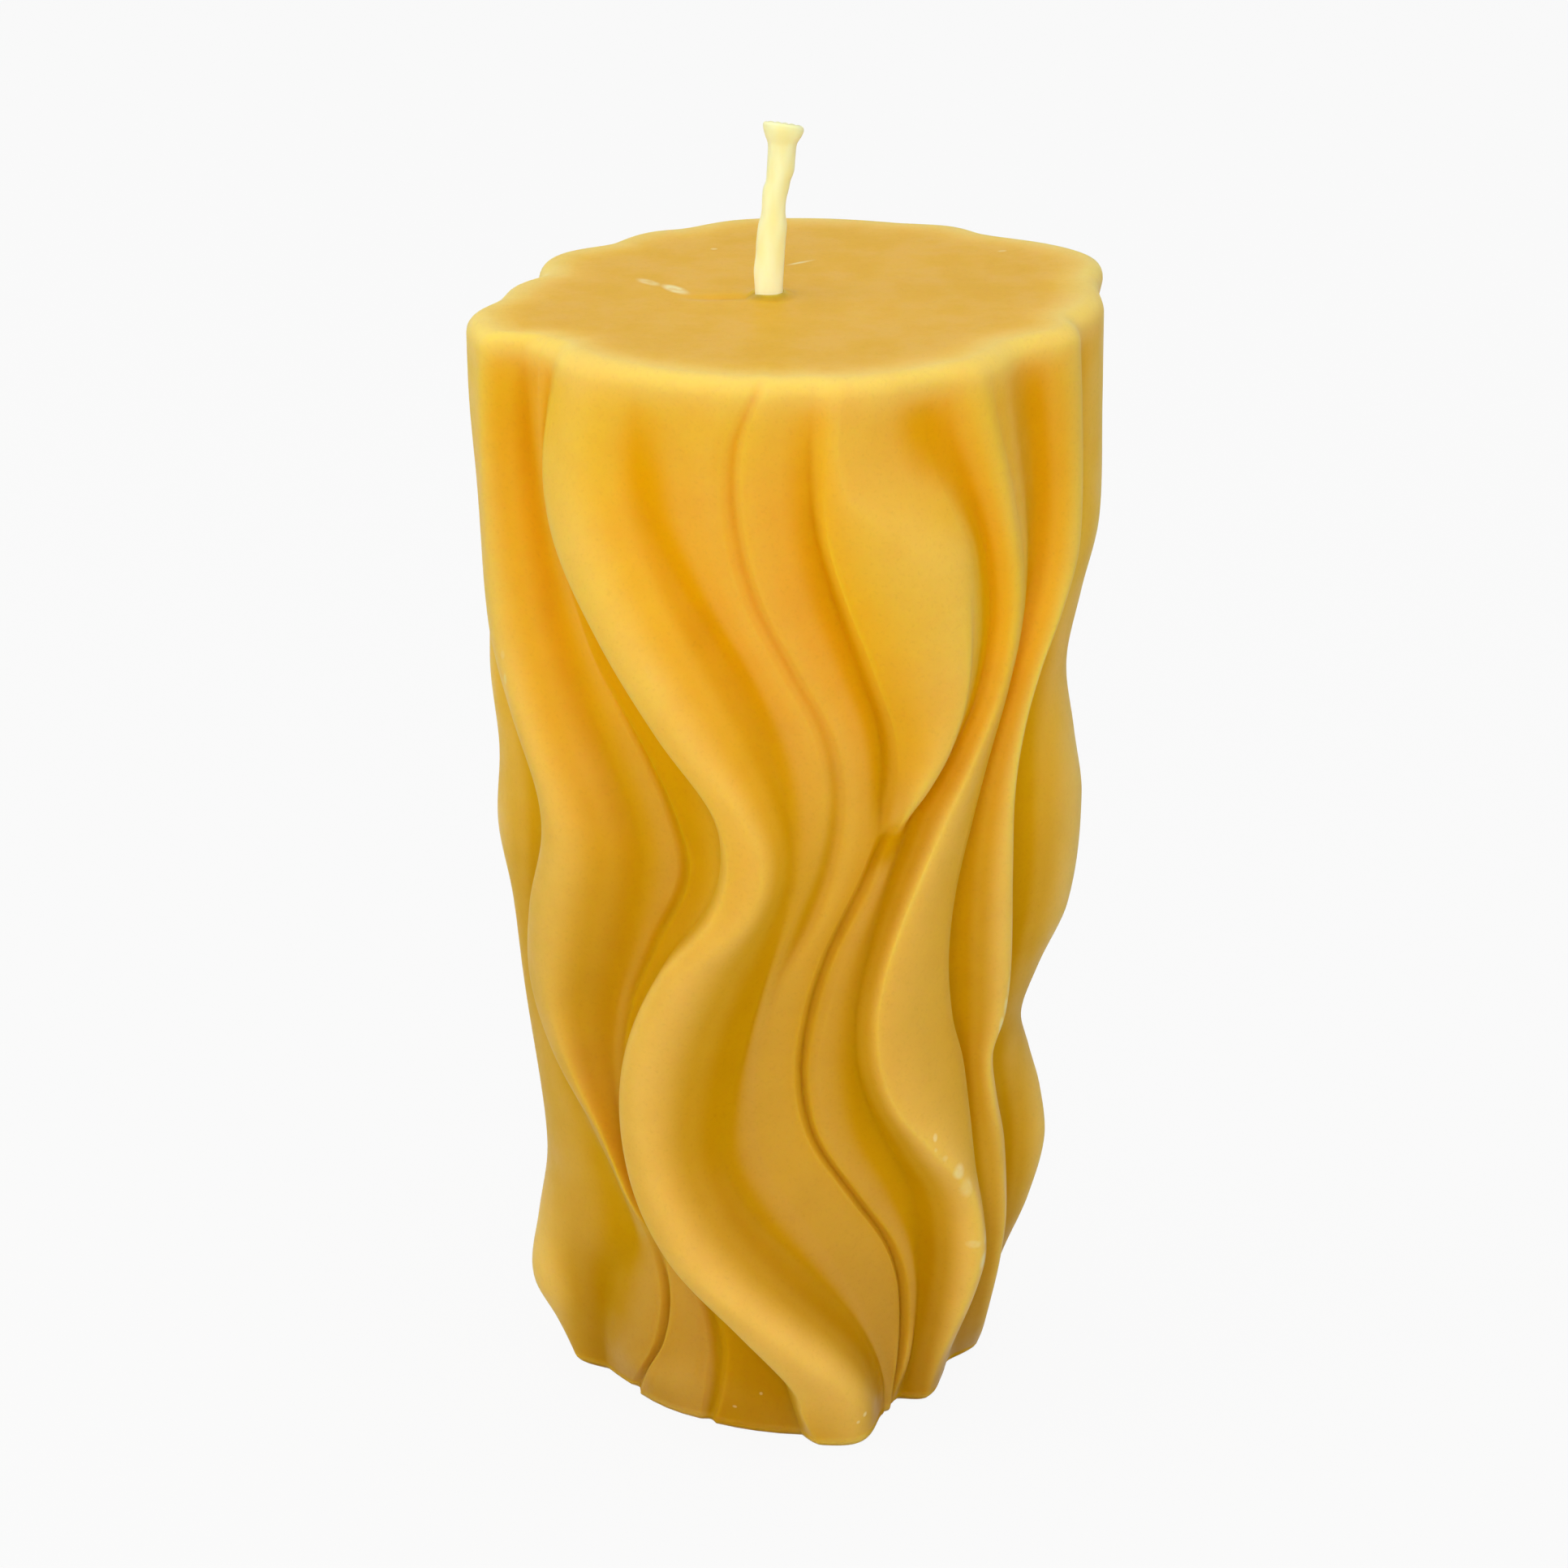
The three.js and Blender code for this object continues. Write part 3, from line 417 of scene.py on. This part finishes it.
def meshFromGrid(name, grid, closed, attributes):
    # Quads between neighbouring rows and columns of the grid, whose columns join round. A closed
    # grid's last row joins its first, and an open one gets a fan to the middle of each end row.
    # Each attribute has one value for each point.
    rows, columns = grid.shape[:2]
    v, u = np.meshgrid(np.arange(rows if closed else rows - 1), np.arange(columns), indexing="ij")
    nextV, nextU = (v + 1) % rows, (u + 1) % columns
    quads = np.stack([v * columns + u, v * columns + nextU, nextV * columns + nextU,
                      nextV * columns + u], axis=-1).reshape(-1, 4).tolist()
    points = grid.reshape(-1, 3)
    if not closed:
        around = np.arange(columns)
        first, last = np.full(columns, len(points)), np.full(columns, len(points) + 1)
        quads += np.stack([first, (around + 1) % columns, around], axis=-1).tolist()
        start = (rows - 1) * columns
        quads += np.stack([last, start + around, start + (around + 1) % columns], axis=-1).tolist()
        points = np.concatenate([points, grid[:1].mean(axis=1), grid[-1:].mean(axis=1)])
    mesh = bpy.data.meshes.new(name)
    mesh.from_pydata((points * mm).tolist(), [], quads)
    for key, values in attributes.items():
        store = mesh.attributes.new(key, "FLOAT", "POINT")
        full = np.zeros(len(points), np.float32)
        full[:values.size] = values.reshape(-1)
        if not closed:
            full[-2:] = values[0].mean(), values[-1].mean()
        store.data.foreach_set("value", full)
    mesh.polygons.foreach_set("use_smooth", np.ones(len(mesh.polygons), bool))
    mesh.update()
    return addToScene(name, mesh)


# The wick, in mm: a braided cotton cord, upright in the wax, with a stub that leans a little and
# flares at its cut end.
wick = {
    "radius": 1.4,
    "stub": 19.3,
    "x": -1.65,
    "y": 0.4,
    "fit": 0.06,             # the wax grips the cord, so only a hair's width is left
    "stubLine": [            # height above the wax, middle of the cord, radius
        (0, -1.65, 1.6), (1.3, -1.67, 1.64), (2.8, -1.66, 1.68), (4.4, -1.52, 1.6),
        (6, -1.42, 1.63), (7.8, -1.25, 1.65), (9.2, -1.16, 1.4), (10.7, -1.08, 1.38),
        (12, -0.86, 1.44), (12.9, -0.62, 1.36), (13.9, -0.4, 1.5), (15.4, -0.28, 1.56),
        (17, -0.17, 1.68), (17.9, -0.1, 2.06), (18.6, -0.07, 2.27), (19.1, -0.06, 2.26),
        (19.3, -0.06, 2.08)],
    "depthLine": [           # height, sway to the back, radius from front to back
        (0, 0, 1.6), (2, 0.05, 1.6), (6, 0.16, 1.52), (10, -0.08, 1.42), (14, -0.12, 1.46),
        (17, 0, 1.66), (17.9, 0.02, 2), (18.6, 0, 2.2), (19.1, 0, 2.2), (19.3, 0, 2.02)],
    "strands": 4,            # in each direction of the braid
    "strandPitch": 4.4,      # height from one row of crossings to the next
    "strandRelief": 0.09,
    "strandShare": 0.66,     # how far a strand stands up on average
    "strandCross": 0.34,     # and how much that rises or sinks where it crosses another
    "strandBlend": 5,        # higher gives a sharper line between two strands
    "cutTilt": (8, 13),      # degrees that the cut slopes down to the right and to the back
    "cutDrop": 0.15,         # and how far its middle lies below the stub's full length
    "cutStart": 0.85,        # share of the stub from which the rows lean into that slope
    "endBumps": (0.1, 4.1, 4.4),     # height of the strands' ends, radians per mm across and deep
    "endCrown": 0.06,        # and how much the cut end bulges in all
    "swellLength": 6,        # below the wax's top, where the cord swells to the stub's radius
    "columns": 96,
    "hiddenRows": 40,        # inside the wax
    "stubRows": 190,
    "capRows": 14,
}


def smoothStep(low, high, value):
    # 3t^2 - 2t^3, with t the share of the way from low to high.
    t = np.clip((value - low) / (high - low), 0, 1)
    return t * t * (3 - 2 * t)


def wickGrid():
    # Rows up the cord and over its cut end. Two families of strands wind as a and b, which are
    # n theta / 2 pi plus and minus z / (2 pitch). Each stands up by 1/2 + cos(2 pi a) / 2, and
    # cos(pi a) cos(pi b) says which lies on top at a crossing. With A and B the two heights,
    # log(e^(k A) + e^(k B)) / k takes the higher one without an edge. Returns positions in mm, how
    # deep each place lies between the strands (2 on the cut end), and its share of the way up.
    topZ = wax["height"] + wick["stub"]
    z = np.concatenate([np.linspace(0, wax["height"], wick["hiddenRows"]),
                        np.linspace(wax["height"], topZ, wick["stubRows"])[1:]])[:, None]
    theta = np.linspace(0, 2 * np.pi, wick["columns"], endpoint=False)[None, :]
    above = np.maximum(z - wax["height"], 0)
    out = above / wick["stub"]

    a = wick["strands"] * theta / (2 * np.pi) + z / wick["strandPitch"] / 2
    b = wick["strands"] * theta / (2 * np.pi) - z / wick["strandPitch"] / 2
    over = wick["strandCross"] * np.cos(np.pi * a) * np.cos(np.pi * b)
    strandA = (0.5 + 0.5 * np.cos(2 * np.pi * a)) * (wick["strandShare"] + over)
    strandB = (0.5 + 0.5 * np.cos(2 * np.pi * b)) * (wick["strandShare"] - over)
    sharp = wick["strandBlend"]
    braid = np.clip(np.log(np.exp(sharp * strandA) + np.exp(sharp * strandB)) / sharp, 0, 1)

    middleX, wide, sway, deep = (
        smoothCurve(wick[line], column, above[:, 0])[:, None]
        for line, column in (("stubLine", 1), ("stubLine", 2), ("depthLine", 1), ("depthLine", 2)))
    swell = smoothStep(wax["height"] - wick["swellLength"], wax["height"], z)
    narrower = (wick["stubLine"][0][2] - wick["radius"]) * (1 - swell)
    thin = wick["strandRelief"] * (1 - braid) + narrower
    x = middleX + (wide - thin) * np.cos(theta)
    y = wick["y"] + sway + (deep - thin) * np.sin(theta)
    right, back = np.tan(np.radians(wick["cutTilt"]))
    drop = right * (x - middleX) + back * (y - wick["y"]) + wick["cutDrop"]
    grid = np.stack([x, y, z - drop * smoothStep(wick["cutStart"], 1, out)], axis=-1)

    # the cut end closes in from its rim, with the strands' ends as low bumps
    inward = np.linspace(1, 0, wick["capRows"] + 1)[1:-1][:, None]
    middle = np.array([middleX[-1, 0], wick["y"]])
    capX = middle[0] + (x[-1] - middle[0]) * inward
    capY = middle[1] + (y[-1] - middle[1]) * inward
    rise, across, deepWaves = wick["endBumps"]
    bumps = rise * np.sin(across * capX + 1) * np.sin(deepWaves * capY)
    bumps = (bumps + wick["endCrown"] * (1 - inward**4)) * (1 - inward**6)
    slope = right * (capX - middle[0]) + back * (capY - middle[1])
    cap = np.stack([capX, capY, topZ - wick["cutDrop"] - slope + bumps], axis=-1)
    gaps = np.concatenate([1 - braid, np.repeat(2 + 0 * inward, wick["columns"], 1)])
    along = np.concatenate([out * np.ones_like(theta), np.ones((len(inward), wick["columns"]))])
    return np.concatenate([grid, cap]), gaps, along


def linear(red, green, blue):
    # A screen colour of 0 to 255 as the light it stands for: ((c + 0.055) / 1.055)^2.4.
    return tuple(((c / 255 + 0.055) / 1.055) ** 2.4 if c > 10 else c / 255 / 12.92
                 for c in (red, green, blue)) + (1,)


def addNode(tree, kind, settings=None, inputs=None):
    # An input, by name or number, is either a value or another node's output to link to.
    made = tree.nodes.new(kind)
    for name, value in (settings or {}).items():
        setattr(made, name, value)
    for name, value in (inputs or {}).items():
        if isinstance(value, bpy.types.NodeSocket):
            tree.links.new(value, made.inputs[name])
        else:
            made.inputs[name].default_value = value
    return made


def newMaterial(name):
    # Returns the material, its tree, its shader and the place on the object.
    material = bpy.data.materials.new(name)
    material.use_nodes = True
    tree = material.node_tree
    shader = next(n for n in tree.nodes if n.type == "BSDF_PRINCIPLED")
    place = addNode(tree, "ShaderNodeTexCoord").outputs["Object"]
    return material, tree, shader, place


def noise(tree, place, size, detail, rough):
    # A cloudy pattern whose blots are about size mm wide.
    made = addNode(tree, "ShaderNodeTexNoise", inputs={
        "Vector": place, "Scale": 1 / (size * mm), "Detail": detail, "Roughness": rough})
    return made.outputs["Fac"]


def stretch(tree, value, low, high, toLow=0, toHigh=1):
    # toLow at low and toHigh at high, with a smooth step between them.
    made = addNode(tree, "ShaderNodeMapRange", {"interpolation_type": "SMOOTHSTEP"}, {
        "Value": value, "From Min": low, "From Max": high, "To Min": toLow, "To Max": toHigh})
    return made.outputs["Result"]


def combine(tree, operation, first, second):
    # A sum, product or maximum, kept between 0 and 1.
    settings = {"operation": operation, "use_clamp": True}
    return addNode(tree, "ShaderNodeMath", settings, {0: first, 1: second}).outputs[0]


def layer(tree, under, colour, mask, blend="MIX"):
    # Lays a colour over what is there, as strongly as the mask says.
    settings = {"data_type": "RGBA", "blend_type": blend}
    return addNode(tree, "ShaderNodeMix", settings, {0: mask, 6: under, 7: colour}).outputs[2]


def attribute(tree, name):
    # A value that was worked out for each point of the mesh.
    return addNode(tree, "ShaderNodeAttribute", {"attribute_name": name}).outputs["Fac"]


def bumpNormal(tree, strength, rise, height, under=None):
    # A pattern as a relief of rise mm, on top of another relief if there is one.
    inputs = {"Strength": strength, "Distance": rise * mm, "Height": height}
    if under:
        inputs["Normal"] = under
    return addNode(tree, "ShaderNodeBump", inputs=inputs).outputs["Normal"]


# The wax's colours: golden and browner toward the foot, deeper with painted shade in the folds
# and on the top, and paler with painted highlights on the ridges and the rim.
waxTonesAndShading = {
    "tones": {                   # screen colours
        "golden": (255, 200, 62),
        "tan": (244, 188, 84),       # in slow clouds
        "low": (223, 173, 58),       # over the lower half
        "foot": (202, 153, 56),      # near the base
        # painted shade on the top face
        "top": (236, 178, 46),
        # painted highlight along the rim
        "rim": (254, 214, 112),
        "floor": (222, 169, 80),     # painted shade between the folds, low down
        "highFloorShade": (247, 177, 52),     # painted shade, higher up
        "pale": (255, 211, 108),     # painted highlight on the ridges
        "bloomAndGlint": (250, 226, 160),    # in the scuffs, and in a painted glint and highlight
    },
    "tints": {                   # what a tone is multiplied by
        "wallShade": (0.92, 0.85, 0.04, 1),       # painted shade on the walls of the folds
        "crease": (0.92, 0.85, 0.02, 1),     # and more painted shade in the creases
        "mottle": (0.62, 0.5, 0.36, 1),
        "grain": (0.5, 0.42, 0.3, 1),
    },
    "spans": {                   # where a mask begins and is full, and its strength at both
        "crease": (0.04, 0.65, 0, 1),        # mm below or above the close neighbours
        "ridgeHighlight": (-0.05, -1.3, 0, 1),
        "hollow": (0, 2, 0, 1),              # mm below or above the folds around
        "highHollow": (-0.3, 1, 0, 1),
        "shoulder": (0, -2, 0, 1),
        "footShade": (-2, 0, 0.25, 1),
        "wallShade": (0.12, 0.65, 0, 0.72),       # sine of the wall's angle
        "lowerHalf": (0.105, 0.05, 0, 1),    # height in m
        "nearBase": (0.035, 0, 0, 1),
        "lowFolds": (0.1, 0.075, 0, 0.55),
        "highFolds": (0.075, 0.1, 0, 0.8),
        "cloud": (0.4, 0.68, 0, 0.5),        # value of a pattern
        "mottle": (0.35, 0.75, 0, 0.1),
        "grain": (0.5, 0.8, 0, 0.12),
        "wear": (0.3, 0.6, 0.6, 1),
        "roughness": (0.3, 0.7, 0.39, 0.53),
    },
    # strengths of the painted highlights on broad raised places, ridges and rim, and of the marks'
    # roughness
    "shares": {"shoulder": 0.15, "ridgeHighlight": 0.7, "rim": 0.8, "scuffRoughness": 0.2},
    "patterns": {                # size in mm, detail, roughness
        "cloud": (26, 2, 0.5),
        "wave": (7, 2, 0.5),
        "mottle": (5, 4, 0.6),
        "wear": (1.1, 3, 0.5),
        "grain": (0.45, 2, 0.7),
    },
    "reliefs": {"wave": (0.25, 0.25), "grain": (0.3, 0.04)},     # strength, rise in mm
    "shader": {
        "Subsurface Weight": 1,
        "Subsurface Radius": (1, 0.76, 0.22),
        "Subsurface Scale": 3 * mm,
        "IOR": 1.44,
        "Specular IOR Level": 0.08,
    },
    "markEdge": 0.6,             # share of the way in at which a mark is full
    "marks": [                   # pale scuffs, with a painted glint and a painted highlight among them: middle and half sizes in mm, turn about Z, strength
        ((-1.65, 0.4, 128.1), (2.3, 2.3, 0.9), 0, 0.8),      # where the wax creeps up the wick
        ((-12, 2.9, 127.4), (3, 1.2, 3), -58, 1),            # scuffs and a scratch on the top
        ((-15, 5.8, 127.4), (2.4, 1, 3), -50, 0.7),
        ((1.9, 14.2, 127.4), (2.4, 0.4, 3), 37, 0.8),
        ((-7.9, 20, 127.4), (0.5, 0.5, 3), 0, 0.7),
        # a painted glint near the rim of the top
        ((24.6, 19, 127.4), (0.7, 0.4, 3), 20, 0.6),
        ((25.2, -16.9, 52.4), (0.5, 0.6, 1.8), 0, 0.6),      # chipped edge of the side fold
        ((24.9, -17.1, 50), (0.5, 0.6, 1.8), 0, 0.9),
        ((24.4, -17.3, 47.7), (0.6, 0.6, 1.7), 0, 1),
        ((16.8, -25.3, 37.9), (0.35, 0.6, 0.65), 0, 0.9),    # rubbed places on the right fold, partly a painted highlight
        ((16.9, -25.5, 36.4), (0.3, 0.5, 0.4), 0, 0.7),
        ((18, -24.7, 35.1), (0.5, 0.6, 0.5), 0, 0.5),
        ((19.6, -23.4, 32.9), (1, 1.2, 1.3), 0, 0.75),
        ((20.5, -22.5, 30.4), (1.2, 1.2, 1.8), 0, 0.5),
        ((22.7, -18.8, 22.8), (0.8, 1.2, 1.2), 0, 0.8),
        ((22.4, -19, 20.3), (0.7, 1.1, 1.8), 0, 1),
        ((21.4, -20.6, 22.7), (1.3, 0.8, 0.7), 0, 0.5),
        ((9.2, -25.5, 3.9), (0.4, 0.6, 0.4), 0, 0.8),        # at the foot
        ((8.4, -26.3, 3.3), (0.3, 0.5, 0.3), 0, 0.7),
        ((9.8, -25, 2.7), (0.3, 0.5, 0.35), 0, 0.6),
        ((-2.6, -22.6, 5.1), (0.25, 0.4, 0.25), 0, 0.7),
        ((-5.6, -21.7, 3), (0.35, 0.4, 0.2), 0, 0.5),
        ((-30.5, -14.3, 88), (0.4, 0.5, 0.9), 0, 0.6),       # on the left shoulder
        ((-30.8, -13.9, 90.6), (0.5, 0.5, 0.7), 0, 0.3),
    ],
}


def markMask(tree, place, middle, size, turn, strength):
    # A soft ellipsoid: full at its middle, 0 at its half sizes.
    moved = addNode(tree, "ShaderNodeMapping", {"vector_type": "TEXTURE"}, {
        "Vector": place, "Location": [c * mm for c in middle],
        "Rotation": (0, 0, math.radians(turn)), "Scale": [c * mm for c in size]})
    ball = addNode(tree, "ShaderNodeTexGradient", {"gradient_type": "SPHERICAL"},
                   {"Vector": moved.outputs["Vector"]})
    return stretch(tree, ball.outputs["Fac"], 0, waxTonesAndShading["markEdge"], 0, strength)


def setShader(shader, values):
    # Values that are the same all over the piece.
    for name, value in values.items():
        shader.inputs[name].default_value = value


def beeswaxMaterial():
    # The tones are laid over each other from the broad ones to the fine ones, each through a mask
    # made from the mesh's own values, the height or a pattern.
    material, tree, shader, place = newMaterial("beeswax")
    tone = {name: linear(*value) for name, value in waxTonesAndShading["tones"].items()}
    tint, share = waxTonesAndShading["tints"], waxTonesAndShading["shares"]
    pattern = {name: noise(tree, place, *value) for name, value in waxTonesAndShading["patterns"].items()}
    depth, wide = attribute(tree, "crease"), attribute(tree, "hollow")
    height = addNode(tree, "ShaderNodeSeparateXYZ", inputs={"Vector": place}).outputs["Z"]

    def mask(name, value):
        # How far the value has come in its span.
        return stretch(tree, value, *waxTonesAndShading["spans"][name])

    def product(first, second):
        return combine(tree, "MULTIPLY", first, second)

    nearFoot = product(mask("nearBase", height), mask("footShade", wide))
    # painted shade in the hollows between the folds, low and higher up
    lowFloorShade = product(mask("hollow", wide), mask("lowFolds", height))
    highFloorShade = product(mask("highHollow", wide), mask("highFolds", height))
    # painted highlights on broad raised places and on the ridges
    shoulder = product(mask("shoulder", wide), share["shoulder"])
    ridgeHighlight = product(mask("ridgeHighlight", depth), share["ridgeHighlight"])
    # painted highlight along the rim
    rim = product(attribute(tree, "rim"), share["rim"])

    colour = layer(tree, tone["golden"], tone["tan"], mask("cloud", pattern["cloud"]))
    colour = layer(tree, colour, tone["low"], mask("lowerHalf", height))
    colour = layer(tree, colour, tone["foot"], nearFoot)
    colour = layer(tree, colour, tone["floor"], lowFloorShade)
    colour = layer(tree, colour, tone["highFloorShade"], highFloorShade)
    colour = layer(tree, colour, tone["pale"], shoulder)
    # painted shade on the walls of the folds and in the creases
    colour = layer(tree, colour, tint["wallShade"], mask("wallShade", attribute(tree, "wallShade")), "MULTIPLY")
    colour = layer(tree, colour, tint["crease"], mask("crease", depth), "MULTIPLY")
    colour = layer(tree, colour, tone["pale"], ridgeHighlight)
    # painted shade on the top face, then the rim's painted highlight
    colour = layer(tree, colour, tone["top"], attribute(tree, "topShade"))
    colour = layer(tree, colour, tone["rim"], rim)
    for name in ("mottle", "grain"):
        colour = layer(tree, colour, tint[name], mask(name, pattern[name]), "MULTIPLY")

    # pale scuffs and chips, with a painted glint and a painted highlight among them
    scuffsAndGlints = markMask(tree, place, *waxTonesAndShading["marks"][0])
    for mark in waxTonesAndShading["marks"][1:]:
        scuffsAndGlints = combine(tree, "MAXIMUM", scuffsAndGlints, markMask(tree, place, *mark))
    scuffsAndGlints = product(scuffsAndGlints, mask("wear", pattern["wear"]))
    colour = layer(tree, colour, tone["bloomAndGlint"], scuffsAndGlints)
    tree.links.new(colour, shader.inputs["Base Color"])

    rough = combine(tree, "ADD", mask("roughness", pattern["mottle"]),
                    product(scuffsAndGlints, share["scuffRoughness"]))
    tree.links.new(rough, shader.inputs["Roughness"])
    setShader(shader, waxTonesAndShading["shader"])
    wave = bumpNormal(tree, *waxTonesAndShading["reliefs"]["wave"], pattern["wave"])
    fine = bumpNormal(tree, *waxTonesAndShading["reliefs"]["grain"], pattern["grain"], wave)
    tree.links.new(fine, shader.inputs["Normal"])
    return material


# The cord's finish: cream cotton soaked in wax, yellower between the strands, whiter at its foot.
wickFinish = {
    "tones": {                   # screen colours
        "cotton": (252, 255, 192),
        "soaked": (254, 250, 176),
        "fibre": (252, 244, 176),
        "foot": (255, 255, 205),
        "cut": (240, 238, 176),
    },
    "spans": {                   # where a mask begins and is full, and its strength at both
        "soaked": (0.15, 0.9, 0, 1),         # depth between the strands, and 2 on the cut end
        "cut": (1.1, 1.9, 0, 1),
        "foot": (0.3, 0.02, 0, 0.8),         # share of the way up the stub
        "fibre": (0.5, 0.8, 0, 0.3),         # value of the pattern
        "roughness": (0.3, 0.7, 0.45, 0.65),
    },
    "fibres": (0.22, 3, 0.6),    # size in mm, detail, roughness
    "fibreStretch": 0.18,        # the pattern's scale along the cord
    "relief": (0.4, 0.05),       # strength, rise in mm
    "shader": {
        "Subsurface Weight": 0.4,
        "Subsurface Radius": (1, 0.85, 0.45),
        "Subsurface Scale": 1.2 * mm,
        "Sheen Weight": 0.15,
    },
}


def waxedCottonMaterial():
    # Cotton, then what soaks it between the strands, its foot, its fibres and its cut end.
    material, tree, shader, place = newMaterial("waxedCotton")
    tone = {name: linear(*value) for name, value in wickFinish["tones"].items()}
    gap, along = attribute(tree, "gap"), attribute(tree, "along")
    drawn = addNode(tree, "ShaderNodeMapping", inputs={
        "Vector": place, "Scale": (1, 1, wickFinish["fibreStretch"])})
    fibres = noise(tree, drawn.outputs["Vector"], *wickFinish["fibres"])

    colour = tone["cotton"]
    for name, value in (("soaked", gap), ("foot", along), ("fibre", fibres), ("cut", gap)):
        mask = stretch(tree, value, *wickFinish["spans"][name])
        colour = layer(tree, colour, tone[name], mask)
    tree.links.new(colour, shader.inputs["Base Color"])
    rough = stretch(tree, fibres, *wickFinish["spans"]["roughness"])
    tree.links.new(rough, shader.inputs["Roughness"])
    setShader(shader, wickFinish["shader"])
    relief = bumpNormal(tree, *wickFinish["relief"], fibres)
    tree.links.new(relief, shader.inputs["Normal"])
    return material


grid, paintedShading = columnGrid()
waxColumn = meshFromGrid("waxColumn", grid, True, paintedShading)
waxColumn.data.materials.append(beeswaxMaterial())
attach(waxColumn, "root")
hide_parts("wax_body")
print("wax column:", len(waxColumn.data.polygons), "faces")

cord, gaps, along = wickGrid()
braidedWick = meshFromGrid("braidedWick", cord, False, {"gap": gaps, "along": along})
braidedWick.data.materials.append(waxedCottonMaterial())
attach(braidedWick, "root")
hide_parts("wick")
print("braided wick:", len(braidedWick.data.polygons), "faces")


# The studio, in metres: a pale floor, an even sky, and four soft lamps, which shine from above,
# from the front, from the front right and from the left.
studio = {
    "cameraPlace": (0, -0.6, 0.292),
    "cameraPitch": 20.27,
    "sensorWidth": 36,
    "focalShare": 6966 / 1932,     # the lens's length as a share of the sensor's width
    "skyStrength": 0.335,
    "floorHalfSize": 4,
    "floorHeight": -0.0003,
    "floorTone": 0.45,
    "floorGlow": 0.93,       # share of the white background that the floor shows where it is seen
    "lampAim": (0, 0, 0.065),
    "lamps": [               # place, size and watts
        ((0, 0, 0.965), 0.6, 3.1),
        ((-0.06, -0.87, 0.3), 0.45, 3.15),
        ((0.66, -0.6, 0.16), 0.45, 1.55),
        ((-0.85, -0.16, 0.3), 0.45, 2.3),
    ],
}


def addLamp(name, place, size, watts):
    # A square lamp that faces the middle of the candle.
    light = bpy.data.lights.new(name, "AREA")
    light.size = size
    light.energy = watts
    lamp = addToScene(name, light)
    lamp.location = place
    toCandle = Vector(studio["lampAim"]) - Vector(place)
    lamp.rotation_euler = toCandle.to_track_quat("-Z", "Y").to_euler()


def seenDirectly(tree):
    # 1 for camera, mirror and see-through rays, which show the white background.
    path = addNode(tree, "ShaderNodeLightPath")
    seen = combine(tree, "ADD", path.outputs["Is Camera Ray"], path.outputs["Is Glossy Ray"])
    return combine(tree, "ADD", seen, path.outputs["Is Transmission Ray"])


def background(tree, kind, strength):
    # Even white light of this strength, from the sky or from a surface.
    return addNode(tree, kind, inputs={"Color": (1, 1, 1, 1), "Strength": strength}).outputs[0]


def mixShaders(tree, share, first, second):
    # The first where the share is 0, the second where it is 1.
    return addNode(tree, "ShaderNodeMixShader", inputs={0: share, 1: first, 2: second}).outputs[0]


def buildSky():
    # Even light from all sides, which is plain white where it is seen directly.
    world = bpy.data.worlds.new("studio")
    world.use_nodes = True
    tree = world.node_tree
    tree.nodes.clear()
    sky = background(tree, "ShaderNodeBackground", studio["skyStrength"])
    white = background(tree, "ShaderNodeBackground", 1)
    mixed = mixShaders(tree, seenDirectly(tree), sky, white)
    addNode(tree, "ShaderNodeOutputWorld", inputs={"Surface": mixed})
    bpy.context.scene.world = world


def buildFloor():
    # A matt floor that keeps the candle's shadow and is nearly white where it is seen directly.
    half, grey = studio["floorHalfSize"], studio["floorTone"]
    corners = [(half * x, half * y, studio["floorHeight"])
               for x, y in ((-1, -1), (1, -1), (1, 1), (-1, 1))]
    mesh = bpy.data.meshes.new("paleFloor")
    mesh.from_pydata(corners, [], [(0, 1, 2, 3)])
    floor = addToScene("paleFloor", mesh)
    material = bpy.data.materials.new("paleFloor")
    material.use_nodes = True
    tree = material.node_tree
    tree.nodes.clear()
    matt = addNode(tree, "ShaderNodeBsdfDiffuse", inputs={"Color": (grey, grey, grey, 1)})
    glow = background(tree, "ShaderNodeEmission", 1)
    share = combine(tree, "MULTIPLY", seenDirectly(tree), studio["floorGlow"])
    mixed = mixShaders(tree, share, matt.outputs[0], glow)
    addNode(tree, "ShaderNodeOutputMaterial", inputs={"Surface": mixed})
    mesh.materials.append(material)


def buildCamera():
    # The photograph's view, turned down from the level by the pitch.
    camera = bpy.data.cameras.new("camera")
    camera.sensor_width = studio["sensorWidth"]
    camera.lens = studio["sensorWidth"] * studio["focalShare"]
    view = addToScene("camera", camera)
    view.location = studio["cameraPlace"]
    view.rotation_euler = (math.pi / 2 - math.radians(studio["cameraPitch"]), 0, 0)
    bpy.context.scene.camera = view
    bpy.context.scene.view_settings.view_transform = "Standard"


buildSky()
buildFloor()
for number, (place, size, watts) in enumerate(studio["lamps"], 1):
    addLamp("softLamp%d" % number, place, size, watts)
buildCamera()
print("studio: floor, lamps and camera are set")
